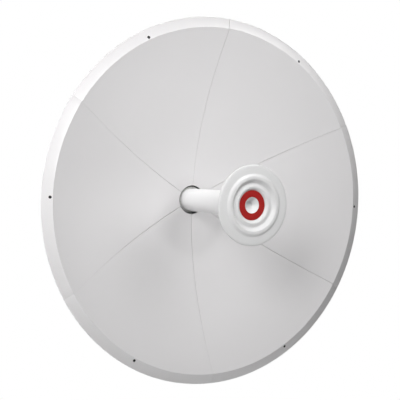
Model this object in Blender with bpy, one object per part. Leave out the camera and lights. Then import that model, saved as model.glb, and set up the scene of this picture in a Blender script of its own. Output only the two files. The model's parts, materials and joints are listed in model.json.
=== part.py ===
# Microwave dish antenna: a reflector of six petals with a central feed tube, its cap, and a rear
# bracket that clamps a round mast.
# Metres, +Z up. The dish looks along -Y, and the origin is on the flat rear face of the mast bracket.

import math

import bmesh
import bpy
from mathutils import Matrix

MM = 0.001
FIT_GAP = 0.3 * MM                 # left between pieces that rest on each other
MERGE_DISTANCE = 0.001 * MM
PLACE_TOLERANCE = 0.01 * MM        # how close a corner has to be to count as on an edge
DRILL_OVERSHOOT = 5 * MM           # how far a drill runs past the faces it cuts

# Reflector. Depths are counted back from the plane of the rim's outer edge.
RIM_Y = -240 * MM                  # where that plane stands
DISH_RADIUS = 325 * MM
FLANGE_WIDTH = 18.1 * MM
FLANGE_RISE = 3.8 * MM             # the flange's inner edge stands this far forward of its outer edge
FOCAL_LENGTH = 213.5 * MM
HUB_HOLE_RADIUS = 27.3 * MM
SHELL_THICKNESS = 3 * MM
EDGE_ROUNDING = 1.2 * MM
RIM_RIB_RADIUS = 319 * MM          # outer side of the rib that runs round behind the flange
RIM_RIB_THICKNESS = 2.5 * MM
RIM_RIB_DEPTH = 9 * MM
PETAL_COUNT = 6
SEAM_GAP = 0.7 * MM
RADIAL_STEPS = 12
PETAL_STEPS = 8                    # steps across one petal, an even number
RIM_HOLE_RADIUS = 2.2 * MM
RIM_HOLE_PLACE = 311.2 * MM        # the hole's distance from the dish axis

# Ribs behind both sides of a petal
RIB_START = 86 * MM
RIB_END = 317.5 * MM               # inside the rim's rib
RIB_DEPTH = 17 * MM
RIB_START_DEPTH = 11 * MM
RIB_END_DEPTH = 8 * MM
RIB_THICKNESS = 2.5 * MM
RIB_INSET = 0.5 * MM               # from the petal's side to its rib
RIB_STEPS = 9

# Feed tube and cap
TUBE_RADIUS = 21.6 * MM
TUBE_WALL = 2.5 * MM
TUBE_FRONT_Y = RIM_Y - 88 * MM
CAP_FACE_Y = RIM_Y - 107 * MM      # the flat outer band of the cap's face
CAP_THICKNESS = 16 * MM
CAP_RADIUS = 67.3 * MM
CAP_BACK_RADIUS = 46 * MM
CAP_CROWN_WIDTH = 5.5 * MM         # the flat band curves back to the edge over this width
CAP_CROWN_DROP = 1.3 * MM
CAP_CROWN_STEPS = 4
CAP_EDGE_HEIGHT = 2.4 * MM
CAP_EDGE_CHAMFER = 1.1 * MM
CAP_RING_INNER = 13.8 * MM
CAP_RING_OUTER = 24.9 * MM
CAP_RING_THICKNESS = 2 * MM
CAP_RING_SINK = 5.8 * MM           # the ring's face lies this far behind the flat band
RING_PLAY = 0.3 * MM
DIMPLE_DEPTH = 6.5 * MM            # behind the ring's face
DIMPLE_STEPS = 6
# Crests and troughs of the cap's face from the ring outwards: radius, and height over the flat band
CAP_WAVES = ((24.0 * MM, -6.4 * MM), (30.6 * MM, -2.0 * MM), (36.8 * MM, -3.4 * MM),
             (45.5 * MM, 2.0 * MM), (54.0 * MM, 0.0))
WAVE_STEPS = 4                     # steps from one crest or trough to the next
COLLAR_RADIUS = 26 * MM
COLLAR_LENGTH = 14 * MM
CONE_RADIUS = 44 * MM
CONE_EDGE_HEIGHT = 2 * MM
CONE_REAR_Y = RIM_Y - 60 * MM

# Hub casting
HUB_RADIUS = 84 * MM
HUB_BOSS_RADIUS = 64 * MM
HUB_FLANGE_THICKNESS = 10 * MM
HUB_BOSS_STEP = 4 * MM             # the flange's rear rises this much towards the boss
HUB_RECESS_RADIUS = 30 * MM
HUB_RECESS_Y = RIM_Y + 128 * MM
HUB_REAR_Y = RIM_Y + 136 * MM
BORE_CLEARANCE = 0.5 * MM

# Brackets of folded sheet
SHEET = 4 * MM
TILT_FRONT_Y = HUB_REAR_Y + FIT_GAP
TILT_HALF_WIDTH = 56 * MM
TILT_HALF_HEIGHT = 55 * MM
TILT_TIP_Y = -10 * MM
FOLD_RADIUS = 5 * MM
EAR_ROUNDING = 20 * MM
PLATE_HALF_WIDTH = 66 * MM
PLATE_HALF_HEIGHT = 77 * MM
PLATE_ROUNDING = 8 * MM
GROOVE_DEPTH = 0.8 * MM            # of the plate's two grooves, in which the cradles stand
MAST_EAR_X = TILT_HALF_WIDTH + 0.4 * MM
MAST_EAR_HALF_HEIGHT = 48 * MM
MAST_TIP_Y = -70 * MM

# Bolts through the brackets' ears
BOLT_RADIUS = 5 * MM
BOLT_HOLE_RADIUS = 5.5 * MM
HEX_RADIUS = 9.2 * MM              # to the corners of heads and nuts
HEX_HEIGHT = 6.4 * MM
BOLT_TAIL = 3 * MM                 # the shank's end stands this far out of its nut
SHANK_SINK = 2 * MM                # the shank starts this deep in its head
PIVOT_Y = -40 * MM
PIVOT_Z = -25 * MM
SLOT_REACH = 45 * MM               # from the pivot to the middle of the curved slot
SLOT_SWEEP = math.radians(22)      # each way from straight above the pivot
SLOT_STEPS = 6
SLOT_END_STEPS = 4

# Feed housing
HOUSING_HALF = 33 * MM
HOUSING_LENGTH = 50 * MM
HOUSING_ROUNDING = 5 * MM
COVER_THICKNESS = 4 * MM
COVER_INSET = 1 * MM
JACK_SPACING = 30 * MM
JACK_FLANGE_RADIUS = 9.5 * MM
JACK_FLANGE_THICKNESS = 3 * MM
JACK_RADIUS = 7.6 * MM
JACK_BORE_RADIUS = 5.4 * MM
JACK_LENGTH = 17 * MM
JACK_BORE_START = 8 * MM           # from the housing to the floor of the jack's bore

# Mast clamp
MAST_RADIUS = 30 * MM              # the mast that the clamp is drawn round
NOTCH_HALF_ANGLE = math.radians(60)
NOTCH_HALF_WIDTH = 50 * MM
NOTCH_FLOOR_Y = 12 * MM
TOOTH_COUNT = 9
TOOTH_DEPTH = 2.2 * MM
CRADLE_HALF_WIDTH = 60 * MM
CRADLE_THICKNESS = 5 * MM
CRADLE_Z = 38 * MM                 # lower face of the upper cradle
ROD_X = 52 * MM
ROD_Z = 60 * MM
ROD_REAR_Y = 118 * MM
JAW_HALF_WIDTH = 64 * MM
JAW_HALF_HEIGHT = 13 * MM
JAW_WEB_GAP = 10 * MM              # between the deepest tooth of a jaw and its web
WASHER_RADIUS = 10 * MM
WASHER_THICKNESS = 2 * MM
NUT_SINK = 0.5 * MM                # the nut and its washer are one solid

FINE_TURN = 48
COARSE_TURN = 24
BOLT_TURN = 12


def clear_scene():
    for item in list(bpy.data.objects):
        bpy.data.objects.remove(item, do_unlink=True)


def make_material(name, colour, roughness, metallic=0.0):
    material = bpy.data.materials.new(name)
    material.use_nodes = True
    shader = material.node_tree.nodes["Principled BSDF"]
    shader.inputs["Base Color"].default_value = (*colour, 1.0)
    shader.inputs["Roughness"].default_value = roughness
    shader.inputs["Metallic"].default_value = metallic
    return material


def face_out(shape):
    shape.normal_update()
    bmesh.ops.recalc_face_normals(shape, faces=shape.faces)
    if shape.calc_volume(signed=True) < 0:
        bmesh.ops.reverse_faces(shape, faces=shape.faces)
    shape.normal_update()


def to_mesh(shape, name="shape"):
    """Turn a bmesh into a mesh with its faces pointing out."""
    bmesh.ops.remove_doubles(shape, verts=shape.verts, dist=MERGE_DISTANCE)
    face_out(shape)
    mesh = bpy.data.meshes.new(name)
    shape.to_mesh(mesh)
    shape.free()
    return mesh


def place(name, mesh, material, location=(0, 0, 0), rotation=(0, 0, 0)):
    """Add one named piece, round faces smooth and corners sharp."""
    if not mesh.materials:
        mesh.materials.append(material)
    mesh.shade_smooth()
    mesh.set_sharp_from_angle(angle=math.radians(35))
    piece = bpy.data.objects.new(name, mesh)
    piece.location = location
    piece.rotation_euler = rotation
    bpy.context.collection.objects.link(piece)
    return piece


def turned(profile, turns, axis="Y", closed=True):
    """Spin a profile of (radius, height along the axis) points into a solid."""
    shape = bmesh.new()
    if axis == "Y":
        points = [shape.verts.new((radius, height, 0)) for radius, height in profile]
    elif axis == "X":
        points = [shape.verts.new((height, radius, 0)) for radius, height in profile]
    else:
        points = [shape.verts.new((radius, 0, height)) for radius, height in profile]
    edges = [shape.edges.new(pair) for pair in zip(points, points[1:])]
    if closed:
        edges.append(shape.edges.new((points[-1], points[0])))
    direction = {"X": (1, 0, 0), "Y": (0, 1, 0), "Z": (0, 0, 1)}[axis]
    bmesh.ops.spin(shape, geom=points + edges, cent=(0, 0, 0), axis=direction,
                   angle=math.tau, steps=turns, use_merge=True)
    return shape


def extruded(outline, low, high, axis):
    """Extrude a flat outline: (x, y) points along Z, or (y, z) points along X."""
    shape = bmesh.new()
    if axis == "Z":
        corners = [shape.verts.new((a, b, low)) for a, b in outline]
        step = (0, 0, high - low)
    else:
        corners = [shape.verts.new((low, a, b)) for a, b in outline]
        step = (high - low, 0, 0)
    base = shape.faces.new(corners)
    grown = bmesh.ops.extrude_face_region(shape, geom=[base])
    moved = [item for item in grown["geom"] if isinstance(item, bmesh.types.BMVert)]
    bmesh.ops.translate(shape, verts=moved, vec=step)
    face_out(shape)
    return shape


def block(low, high):
    """A box between two corners."""
    outline = [(low[0], low[1]), (high[0], low[1]), (high[0], high[1]), (low[0], high[1])]
    return extruded(outline, low[2], high[2], "Z")


def bevel_where(shape, test, width, steps, along=None):
    """Round the edges whose ends pass a test of their position, or only those along one axis."""
    edges = []
    for edge in shape.edges:
        start, end = (corner.co for corner in edge.verts)
        if not (test(start) and test(end)):
            continue
        if along is None or near(abs((end - start)["XYZ".index(along)]), (end - start).length):
            edges.append(edge)
    bmesh.ops.bevel(shape, geom=edges, offset=width, segments=steps, profile=0.5, affect="EDGES")


def near(value, target):
    return abs(value - target) < PLACE_TOLERANCE


def combine(base, tools, operation):
    """Return a mesh after an exact Boolean with each tool mesh in turn."""
    work = bpy.data.objects.new("work", base)
    bpy.context.collection.objects.link(work)
    helpers = []
    for tool in tools:
        helper = bpy.data.objects.new("helper", tool)
        bpy.context.collection.objects.link(helper)
        step = work.modifiers.new("step", "BOOLEAN")
        step.operation = operation
        step.solver = "EXACT"
        step.object = helper
        helpers.append(helper)
    bpy.context.view_layer.update()
    graph = bpy.context.evaluated_depsgraph_get()
    result = bpy.data.meshes.new_from_object(work.evaluated_get(graph))
    for item in [work] + helpers:
        bpy.data.objects.remove(item, do_unlink=True)
    return result


def rod_mesh(radius, start, end, turns, axis, at=(0, 0, 0)):
    """A plain round bar along an axis, used as a bolt's shank and as a drill."""
    shape = turned([(0, start), (radius, start), (radius, end), (0, end)], turns, axis, closed=False)
    bmesh.ops.translate(shape, verts=shape.verts, vec=at)
    return to_mesh(shape)


# Reflector

def reflector_y(radius):
    """Where the reflecting face of the paraboloid stands at a distance from the axis."""
    inner = DISH_RADIUS - FLANGE_WIDTH
    return RIM_Y - FLANGE_RISE + (inner ** 2 - radius ** 2) / (4 * FOCAL_LENGTH)


def offset_path(path, distance):
    """Shift a path of (radius, y) points sideways, to its right, with mitred corners."""
    shifted = []
    for index, point in enumerate(path):
        normals = []
        for start, end in ((index - 1, index), (index, index + 1)):
            if start < 0 or end >= len(path):
                continue
            along = (path[end][0] - path[start][0], path[end][1] - path[start][1])
            length = math.hypot(*along)
            normals.append((-along[1] / length, along[0] / length))
        normal = (sum(n[0] for n in normals), sum(n[1] for n in normals))
        size = math.hypot(*normal)
        normal = (normal[0] / size, normal[1] / size)
        mitre = normal[0] * normals[0][0] + normal[1] * normals[0][1]
        shifted.append((point[0] + normal[0] * distance / mitre,
                        point[1] + normal[1] * distance / mitre))
    return shifted


def front_y(radius):
    """Where the front of the petals stands: the paraboloid, then the sloping flange."""
    inner = DISH_RADIUS - FLANGE_WIDTH
    if radius <= inner:
        return reflector_y(radius)
    return RIM_Y - FLANGE_RISE * (DISH_RADIUS - radius) / FLANGE_WIDTH


def petal_shell():
    """One sixth of the shell: paraboloid, flange and the rim's rib, its middle along +X."""
    inner = DISH_RADIUS - FLANGE_WIDTH
    stations = [HUB_HOLE_RADIUS + (inner - HUB_HOLE_RADIUS) * step / RADIAL_STEPS
                for step in range(RADIAL_STEPS + 1)]
    front = [(radius, front_y(radius)) for radius in stations + [DISH_RADIUS]]
    back = offset_path(front, SHELL_THICKNESS)
    rib = []
    for radius in (RIM_RIB_RADIUS - RIM_RIB_THICKNESS, RIM_RIB_RADIUS):
        share = (radius - back[-2][0]) / (back[-1][0] - back[-2][0])
        foot = back[-2][1] + share * (back[-1][1] - back[-2][1])
        rib.append([(radius, foot), (radius, RIM_Y + RIM_RIB_DEPTH)])
    loop = front + [back[-1]] + rib[1] + rib[0][::-1] + back[-2::-1]

    shape = bmesh.new()
    rings = []
    for step in range(PETAL_STEPS + 1):
        side = 2 * step / PETAL_STEPS - 1
        ring = []
        for radius, depth in loop:
            angle = side * (math.pi / PETAL_COUNT - math.asin(SEAM_GAP / 2 / radius))
            ring.append(shape.verts.new((radius * math.cos(angle), depth, radius * math.sin(angle))))
        rings.append(ring)
    count = len(loop)
    for ring, following in zip(rings, rings[1:]):
        for index in range(count):
            after = (index + 1) % count
            shape.faces.new((ring[index], ring[after], following[after], following[index]))
    for ring in (rings[0], rings[-1]):
        for index in range(RADIAL_STEPS):
            opposite = count - 1 - index
            shape.faces.new((ring[index], ring[index + 1], ring[opposite - 1], ring[opposite]))
        shape.faces.new(ring[RADIAL_STEPS:count - RADIAL_STEPS])
    face_out(shape)

    def on_outer_edge(point):
        return near(math.hypot(point.x, point.z), DISH_RADIUS) and near(point.y, RIM_Y)

    bevel_where(shape, on_outer_edge, EDGE_ROUNDING, 2)
    return to_mesh(shape)


def petal_rib(side):
    """The rib behind one side of a petal, from the hub to the rim's rib; side is 1 or -1."""
    inner = DISH_RADIUS - FLANGE_WIDTH
    stations = [RIB_START + (inner - RIB_START) * step / RIB_STEPS for step in range(RIB_STEPS + 1)]
    root = [(radius, front_y(radius) + SHELL_THICKNESS / 2) for radius in stations + [RIB_END]]
    edge = [(radius, depth + RIB_DEPTH) for radius, depth in root[1:RIB_STEPS]]
    edge.insert(0, (RIB_START, root[0][1] + RIB_START_DEPTH))
    edge.append((RIB_END, RIM_Y + RIB_END_DEPTH))
    outline = root + edge[::-1]
    inset = SEAM_GAP / 2 + RIB_INSET
    shape = extruded(outline, -inset - RIB_THICKNESS, -inset, "Z")
    if side < 0:
        bmesh.ops.translate(shape, verts=shape.verts, vec=(0, 0, 2 * inset + RIB_THICKNESS))
    turn = Matrix.Rotation(-side * math.pi / PETAL_COUNT, 4, "Y")
    bmesh.ops.transform(shape, matrix=turn, verts=shape.verts)
    return to_mesh(shape)


def build_petals(material):
    shell = combine(petal_shell(), [petal_rib(1), petal_rib(-1)], "UNION")
    drill = rod_mesh(RIM_HOLE_RADIUS, RIM_Y - FLANGE_RISE - DRILL_OVERSHOOT,
                     RIM_Y + SHELL_THICKNESS + DRILL_OVERSHOOT, BOLT_TURN, "Y",
                     (RIM_HOLE_PLACE, 0, 0))
    mesh = combine(shell, [drill], "DIFFERENCE")
    for number in range(PETAL_COUNT):
        middle = math.radians(60 - 60 * number)
        place(f"petal_{number + 1}", mesh, material, rotation=(0, -middle, 0))


# Feed tube and cap

def build_feed(white, red):
    tube_rear = TILT_FRONT_Y + SHEET
    inner = TUBE_RADIUS - TUBE_WALL
    tube = turned([(inner, TUBE_FRONT_Y), (TUBE_RADIUS, TUBE_FRONT_Y),
                   (TUBE_RADIUS, tube_rear), (inner, tube_rear)], COARSE_TURN)
    place("feed_tube", to_mesh(tube), white)

    cap_rear = CAP_FACE_Y + CAP_THICKNESS
    cone_front = cap_rear + FIT_GAP
    socket = TUBE_RADIUS + BORE_CLEARANCE
    cone = turned([(0, cone_front), (CONE_RADIUS, cone_front),
                   (CONE_RADIUS, cone_front + CONE_EDGE_HEIGHT),
                   (COLLAR_RADIUS, CONE_REAR_Y - COLLAR_LENGTH), (COLLAR_RADIUS, CONE_REAR_Y),
                   (socket, CONE_REAR_Y), (socket, TUBE_FRONT_Y - FIT_GAP),
                   (0, TUBE_FRONT_Y - FIT_GAP)], COARSE_TURN, closed=False)
    place("cap_cone", to_mesh(cone), white)

    place("cap_disc", to_mesh(turned(cap_profile(), FINE_TURN, closed=False)), white)

    ring_front = CAP_FACE_Y + CAP_RING_SINK
    ring_rear = ring_front + CAP_RING_THICKNESS
    ring = turned([(CAP_RING_INNER, ring_front), (CAP_RING_OUTER, ring_front),
                   (CAP_RING_OUTER, ring_rear), (CAP_RING_INNER, ring_rear)], FINE_TURN)
    place("cap_ring", to_mesh(ring), red)


def cap_height(radius):
    """How far the cap's face stands forward of its flat band: half waves between the crests."""
    for (start, low), (end, high) in zip(CAP_WAVES, CAP_WAVES[1:]):
        if radius <= end:
            share = (radius - start) / (end - start)
            return low + (high - low) * (1 - math.cos(math.pi * share)) / 2
    return 0.0


def cap_profile():
    """From the middle of the cap's face over its waves and round its edge to the back."""
    dimple = CAP_RING_INNER - RING_PLAY
    ball = (dimple ** 2 + DIMPLE_DEPTH ** 2) / (2 * DIMPLE_DEPTH)
    points = []
    for step in range(DIMPLE_STEPS + 1):
        angle = math.asin(dimple / ball) * step / DIMPLE_STEPS
        rise = ball * (1 - math.cos(angle)) - DIMPLE_DEPTH
        points.append((ball * math.sin(angle), rise - CAP_RING_SINK))

    seat = -CAP_RING_SINK - CAP_RING_THICKNESS - FIT_GAP
    outside = CAP_RING_OUTER + RING_PLAY
    points += [(dimple, seat), (outside, seat), (outside, cap_height(outside))]
    for (start, _), (end, _) in zip(CAP_WAVES, CAP_WAVES[1:]):
        for step in range(1, WAVE_STEPS + 1):
            radius = start + (end - start) * step / WAVE_STEPS
            if radius > outside + RING_PLAY:
                points.append((radius, cap_height(radius)))

    flat_end = CAP_RADIUS - CAP_CROWN_WIDTH
    for step in range(CAP_CROWN_STEPS + 1):
        turn = math.pi / 2 * step / CAP_CROWN_STEPS
        points.append((flat_end + CAP_CROWN_WIDTH * math.sin(turn),
                       -CAP_CROWN_DROP * (1 - math.cos(turn))))
    wall_end = -CAP_CROWN_DROP - CAP_EDGE_HEIGHT
    points += [(CAP_RADIUS, wall_end), (CAP_RADIUS - CAP_EDGE_CHAMFER, wall_end - CAP_EDGE_CHAMFER),
               (CAP_BACK_RADIUS, -CAP_THICKNESS), (0, -CAP_THICKNESS)]
    return [(radius, CAP_FACE_Y - height) for radius, height in points]


# Hub casting

def build_hub(material):
    clearance = SHELL_THICKNESS + FIT_GAP
    step = (DISH_RADIUS - FLANGE_WIDTH - HUB_HOLE_RADIUS) / RADIAL_STEPS
    stations = [HUB_RECESS_RADIUS, HUB_HOLE_RADIUS + step, HUB_HOLE_RADIUS + 2 * step, HUB_RADIUS]
    front = []
    for radius in stations:
        slope = radius / (2 * FOCAL_LENGTH)
        front.append((radius, reflector_y(radius) + clearance * math.hypot(1, slope)))
    flange_rear = front[-1][1] + HUB_FLANGE_THICKNESS
    bore = TUBE_RADIUS + BORE_CLEARANCE
    profile = front + [(HUB_RADIUS, flange_rear), (HUB_BOSS_RADIUS, flange_rear + HUB_BOSS_STEP),
                       (HUB_BOSS_RADIUS, HUB_REAR_Y), (bore, HUB_REAR_Y), (bore, HUB_RECESS_Y),
                       (HUB_RECESS_RADIUS, HUB_RECESS_Y)]
    place("hub_casting", to_mesh(turned(profile, FINE_TURN)), material)


# Brackets

def arc_slot(reach, sweep, radius):
    """Outline of a slot curved round the pivot, in (y, z), its middle straight above it."""
    def polar(centre, angle, length):
        return (centre[0] + length * math.sin(angle), centre[1] + length * math.cos(angle))

    pivot = (PIVOT_Y, PIVOT_Z)
    outline = []
    for side, length in ((1, reach + radius), (-1, reach - radius)):
        for step in range(SLOT_STEPS + 1):
            outline.append(polar(pivot, side * sweep * (2 * step / SLOT_STEPS - 1), length))
        end = polar(pivot, side * sweep, reach)
        start = sweep if side > 0 else math.pi - sweep
        for step in range(1, SLOT_END_STEPS):
            outline.append(polar(end, start + math.pi * step / SLOT_END_STEPS, radius))
    return outline


def build_tilt_bracket(material):
    """A U of folded sheet, its web on the hub casting and its ears reaching back."""
    web_rear = TILT_FRONT_Y + SHEET
    half = TILT_HALF_WIDTH
    inside = half - SHEET
    outline = [(-half, TILT_FRONT_Y), (half, TILT_FRONT_Y), (half, TILT_TIP_Y), (inside, TILT_TIP_Y),
               (inside, web_rear), (-inside, web_rear), (-inside, TILT_TIP_Y), (-half, TILT_TIP_Y)]
    shape = extruded(outline, -TILT_HALF_HEIGHT, TILT_HALF_HEIGHT, "Z")

    def on_fold(point):
        return near(abs(point.x), half) and near(point.y, TILT_FRONT_Y)

    def at_ear_tip(point):
        return near(point.y, TILT_TIP_Y) and near(abs(point.z), TILT_HALF_HEIGHT)

    bevel_where(shape, on_fold, FOLD_RADIUS, 2, along="Z")
    bevel_where(shape, at_ear_tip, EAR_ROUNDING, 4, along="X")
    through = half + DRILL_OVERSHOOT
    slot = extruded(arc_slot(SLOT_REACH, SLOT_SWEEP, BOLT_HOLE_RADIUS), -through, through, "X")
    tools = [to_mesh(slot),
             rod_mesh(BOLT_HOLE_RADIUS, -through, through, BOLT_TURN, "X", (0, PIVOT_Y, PIVOT_Z)),
             rod_mesh(TUBE_RADIUS + BORE_CLEARANCE, TILT_FRONT_Y - DRILL_OVERSHOOT,
                      web_rear + DRILL_OVERSHOOT, COARSE_TURN, "Y")]
    place("tilt_bracket", combine(to_mesh(shape), tools, "DIFFERENCE"), material)


def build_mast_bracket(material):
    """A grooved plate for the mast with an ear welded to it outside each ear of the tilt bracket."""
    plate = block((-PLATE_HALF_WIDTH, -SHEET, -PLATE_HALF_HEIGHT),
                  (PLATE_HALF_WIDTH, 0, PLATE_HALF_HEIGHT))

    def at_plate_corner(point):
        return near(abs(point.x), PLATE_HALF_WIDTH) and near(abs(point.z), PLATE_HALF_HEIGHT)

    bevel_where(plate, at_plate_corner, PLATE_ROUNDING, 3, along="Y")
    ears = []
    for side in (1, -1):
        near_x, far_x = sorted((side * MAST_EAR_X, side * (MAST_EAR_X + SHEET)))
        ear = block((near_x, MAST_TIP_Y, -MAST_EAR_HALF_HEIGHT),
                    (far_x, -SHEET / 2, MAST_EAR_HALF_HEIGHT))

        def at_ear_tip(point):
            return near(point.y, MAST_TIP_Y) and near(abs(point.z), MAST_EAR_HALF_HEIGHT)

        bevel_where(ear, at_ear_tip, EAR_ROUNDING, 4, along="X")
        ears.append(to_mesh(ear))
    bracket = combine(to_mesh(plate), ears, "UNION")
    through = MAST_EAR_X + SHEET + DRILL_OVERSHOOT
    tools = []
    for z in (PIVOT_Z, PIVOT_Z + SLOT_REACH):
        tools.append(rod_mesh(BOLT_HOLE_RADIUS, -through, through, BOLT_TURN, "X", (0, PIVOT_Y, z)))
    for x in (-ROD_X, ROD_X):
        for z in (-ROD_Z, ROD_Z):
            tools.append(rod_mesh(BOLT_HOLE_RADIUS, -SHEET - DRILL_OVERSHOOT, DRILL_OVERSHOOT,
                                  BOLT_TURN, "Y", (x, 0, z)))
    for low_z in (CRADLE_Z, -CRADLE_Z - CRADLE_THICKNESS):
        groove = block((-PLATE_HALF_WIDTH - DRILL_OVERSHOOT, -GROOVE_DEPTH, low_z - FIT_GAP),
                       (PLATE_HALF_WIDTH + DRILL_OVERSHOOT, DRILL_OVERSHOOT,
                        low_z + CRADLE_THICKNESS + FIT_GAP))
        tools.append(to_mesh(groove))
    place("mast_bracket", combine(bracket, tools, "DIFFERENCE"), material)


def build_ear_bolts(material):
    """Each bolt has its head outside the mast bracket's ear and its nut inside the tilt bracket's."""
    head_start = MAST_EAR_X + SHEET + FIT_GAP
    nut_end = TILT_HALF_WIDTH - SHEET - FIT_GAP
    shank = rod_mesh(BOLT_RADIUS, nut_end - HEX_HEIGHT - BOLT_TAIL, head_start + SHANK_SINK,
                     BOLT_TURN, "X")
    head = rod_mesh(HEX_RADIUS, head_start, head_start + HEX_HEIGHT, 6, "X")
    nut = rod_mesh(HEX_RADIUS, nut_end - HEX_HEIGHT, nut_end, 6, "X")
    mesh = combine(shank, [head, nut], "UNION")
    for name, z in (("pivot_bolt", PIVOT_Z), ("lock_bolt", PIVOT_Z + SLOT_REACH)):
        place(f"{name}_right", mesh, material, (0, PIVOT_Y, z))
        place(f"{name}_left", mesh, material, (0, PIVOT_Y, z), (0, 0, math.pi))


# Feed housing

def build_housing(grey, brass):
    front = TILT_FRONT_Y + SHEET + FIT_GAP
    rear = front + HOUSING_LENGTH
    half = HOUSING_HALF
    shape = block((-half, front, -half), (half, rear, half))

    def on_side(point):
        return near(abs(point.x), half) and near(abs(point.z), half)

    bevel_where(shape, on_side, HOUSING_ROUNDING, 3, along="Y")
    place("feed_housing", to_mesh(shape), grey)

    cover_front = rear + FIT_GAP
    cover_half = half - COVER_INSET
    cover = block((-cover_half, cover_front, -cover_half),
                  (cover_half, cover_front + COVER_THICKNESS, cover_half))

    def on_cover_side(point):
        return near(abs(point.x), cover_half) and near(abs(point.z), cover_half)

    bevel_where(cover, on_cover_side, HOUSING_ROUNDING, 3, along="Y")
    place("housing_cover", to_mesh(cover), grey)

    top = -half - FIT_GAP
    flange_end = top - JACK_FLANGE_THICKNESS
    end = top - JACK_LENGTH
    floor = top - JACK_BORE_START
    jack = turned([(0, top), (JACK_FLANGE_RADIUS, top), (JACK_FLANGE_RADIUS, flange_end),
                   (JACK_RADIUS, flange_end), (JACK_RADIUS, end), (JACK_BORE_RADIUS, end),
                   (JACK_BORE_RADIUS, floor), (0, floor)], COARSE_TURN, "Z", closed=False)
    mesh = to_mesh(jack)
    middle = (front + rear) / 2
    place("rf_jack_right", mesh, brass, (JACK_SPACING / 2, middle, 0))
    place("rf_jack_left", mesh, brass, (-JACK_SPACING / 2, middle, 0))


# Mast clamp

def notch(vertex_y, toward):
    """A toothed V from right to left in (x, y); toward is 1 if it opens to +Y, -1 to -Y."""
    rise = 1 / math.tan(NOTCH_HALF_ANGLE)
    points = []
    teeth = 2 * TOOTH_COUNT
    for step in range(-teeth, teeth + 1):
        x = -NOTCH_HALF_WIDTH * step / teeth
        y = vertex_y + toward * abs(x) * rise
        if step % 2:
            y -= toward * TOOTH_DEPTH
        points.append((x, y))
    return points


def build_clamp(material, steel):
    centre = NOTCH_FLOOR_Y + MAST_RADIUS / math.sin(NOTCH_HALF_ANGLE)
    reach = NOTCH_HALF_WIDTH / math.tan(NOTCH_HALF_ANGLE)
    tip = NOTCH_FLOOR_Y + reach
    foot = FIT_GAP - GROOVE_DEPTH
    outline = [(-CRADLE_HALF_WIDTH, foot), (CRADLE_HALF_WIDTH, foot), (CRADLE_HALF_WIDTH, tip)]
    outline += notch(NOTCH_FLOOR_Y, 1) + [(-CRADLE_HALF_WIDTH, tip)]
    cradle = to_mesh(extruded(outline, 0, CRADLE_THICKNESS, "Z"))
    place("cradle_upper", cradle, material, (0, 0, CRADLE_Z))
    place("cradle_lower", cradle, material, (0, 0, -CRADLE_Z - CRADLE_THICKNESS))

    jaw_floor = centre + MAST_RADIUS / math.sin(NOTCH_HALF_ANGLE)
    jaw_tip = jaw_floor - reach
    web_front = jaw_floor + JAW_WEB_GAP
    web_rear = web_front + SHEET
    plate = [(JAW_HALF_WIDTH, web_front + SHEET / 2), (-JAW_HALF_WIDTH, web_front + SHEET / 2),
             (-JAW_HALF_WIDTH, jaw_tip)]
    plate += notch(jaw_floor, -1)[::-1] + [(JAW_HALF_WIDTH, jaw_tip)]
    upper = to_mesh(extruded(plate, JAW_HALF_HEIGHT - SHEET, JAW_HALF_HEIGHT, "Z"))
    lower = to_mesh(extruded(plate, -JAW_HALF_HEIGHT, -JAW_HALF_HEIGHT + SHEET, "Z"))
    web = to_mesh(block((-JAW_HALF_WIDTH, web_front, -JAW_HALF_HEIGHT),
                        (JAW_HALF_WIDTH, web_rear, JAW_HALF_HEIGHT)))
    jaw = combine(web, [upper, lower], "UNION")
    drills = [rod_mesh(BOLT_HOLE_RADIUS, web_front - DRILL_OVERSHOOT, web_rear + DRILL_OVERSHOOT,
                       BOLT_TURN, "Y", (x, 0, 0))
              for x in (-ROD_X, ROD_X)]
    jaw = combine(jaw, drills, "DIFFERENCE")
    place("jaw_upper", jaw, material, (0, 0, ROD_Z))
    place("jaw_lower", jaw, material, (0, 0, -ROD_Z))

    head_rear = -SHEET - FIT_GAP
    nut_front = web_rear + FIT_GAP
    shank = rod_mesh(BOLT_RADIUS, head_rear - SHANK_SINK, ROD_REAR_Y, BOLT_TURN, "Y")
    parts = [rod_mesh(HEX_RADIUS, head_rear - HEX_HEIGHT, head_rear, 6, "Y"),
             rod_mesh(WASHER_RADIUS, nut_front, nut_front + WASHER_THICKNESS, BOLT_TURN, "Y"),
             rod_mesh(HEX_RADIUS, nut_front + WASHER_THICKNESS - NUT_SINK,
                      nut_front + WASHER_THICKNESS + HEX_HEIGHT, 6, "Y")]
    rod = combine(shank, parts, "UNION")
    number = 0
    for z in (ROD_Z, -ROD_Z):
        for x in (ROD_X, -ROD_X):
            number += 1
            place(f"clamp_rod_{number}", rod, steel, (x, 0, z))


def build():
    clear_scene()
    white = make_material("white_shell", (0.82, 0.82, 0.83), 0.45)
    feed_white = make_material("white_feed", (0.87, 0.87, 0.87), 0.40)
    red = make_material("red_ring", (0.36, 0.02, 0.02), 0.40)
    cast = make_material("cast_grey", (0.42, 0.43, 0.44), 0.55, 0.6)
    zinc = make_material("zinc_sheet", (0.55, 0.57, 0.58), 0.45, 0.9)
    bolt = make_material("bolt_steel", (0.62, 0.62, 0.60), 0.30, 1.0)
    grey = make_material("housing_grey", (0.30, 0.31, 0.32), 0.50)
    brass = make_material("jack_brass", (0.75, 0.70, 0.55), 0.30, 1.0)
    build_petals(white)
    build_feed(feed_white, red)
    build_hub(cast)
    build_tilt_bracket(zinc)
    build_mast_bracket(zinc)
    build_ear_bolts(bolt)
    build_housing(grey, brass)
    build_clamp(zinc, bolt)


build()
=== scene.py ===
import json
import math

import bmesh
import bpy
from mathutils import Matrix, Quaternion, Vector

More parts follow.
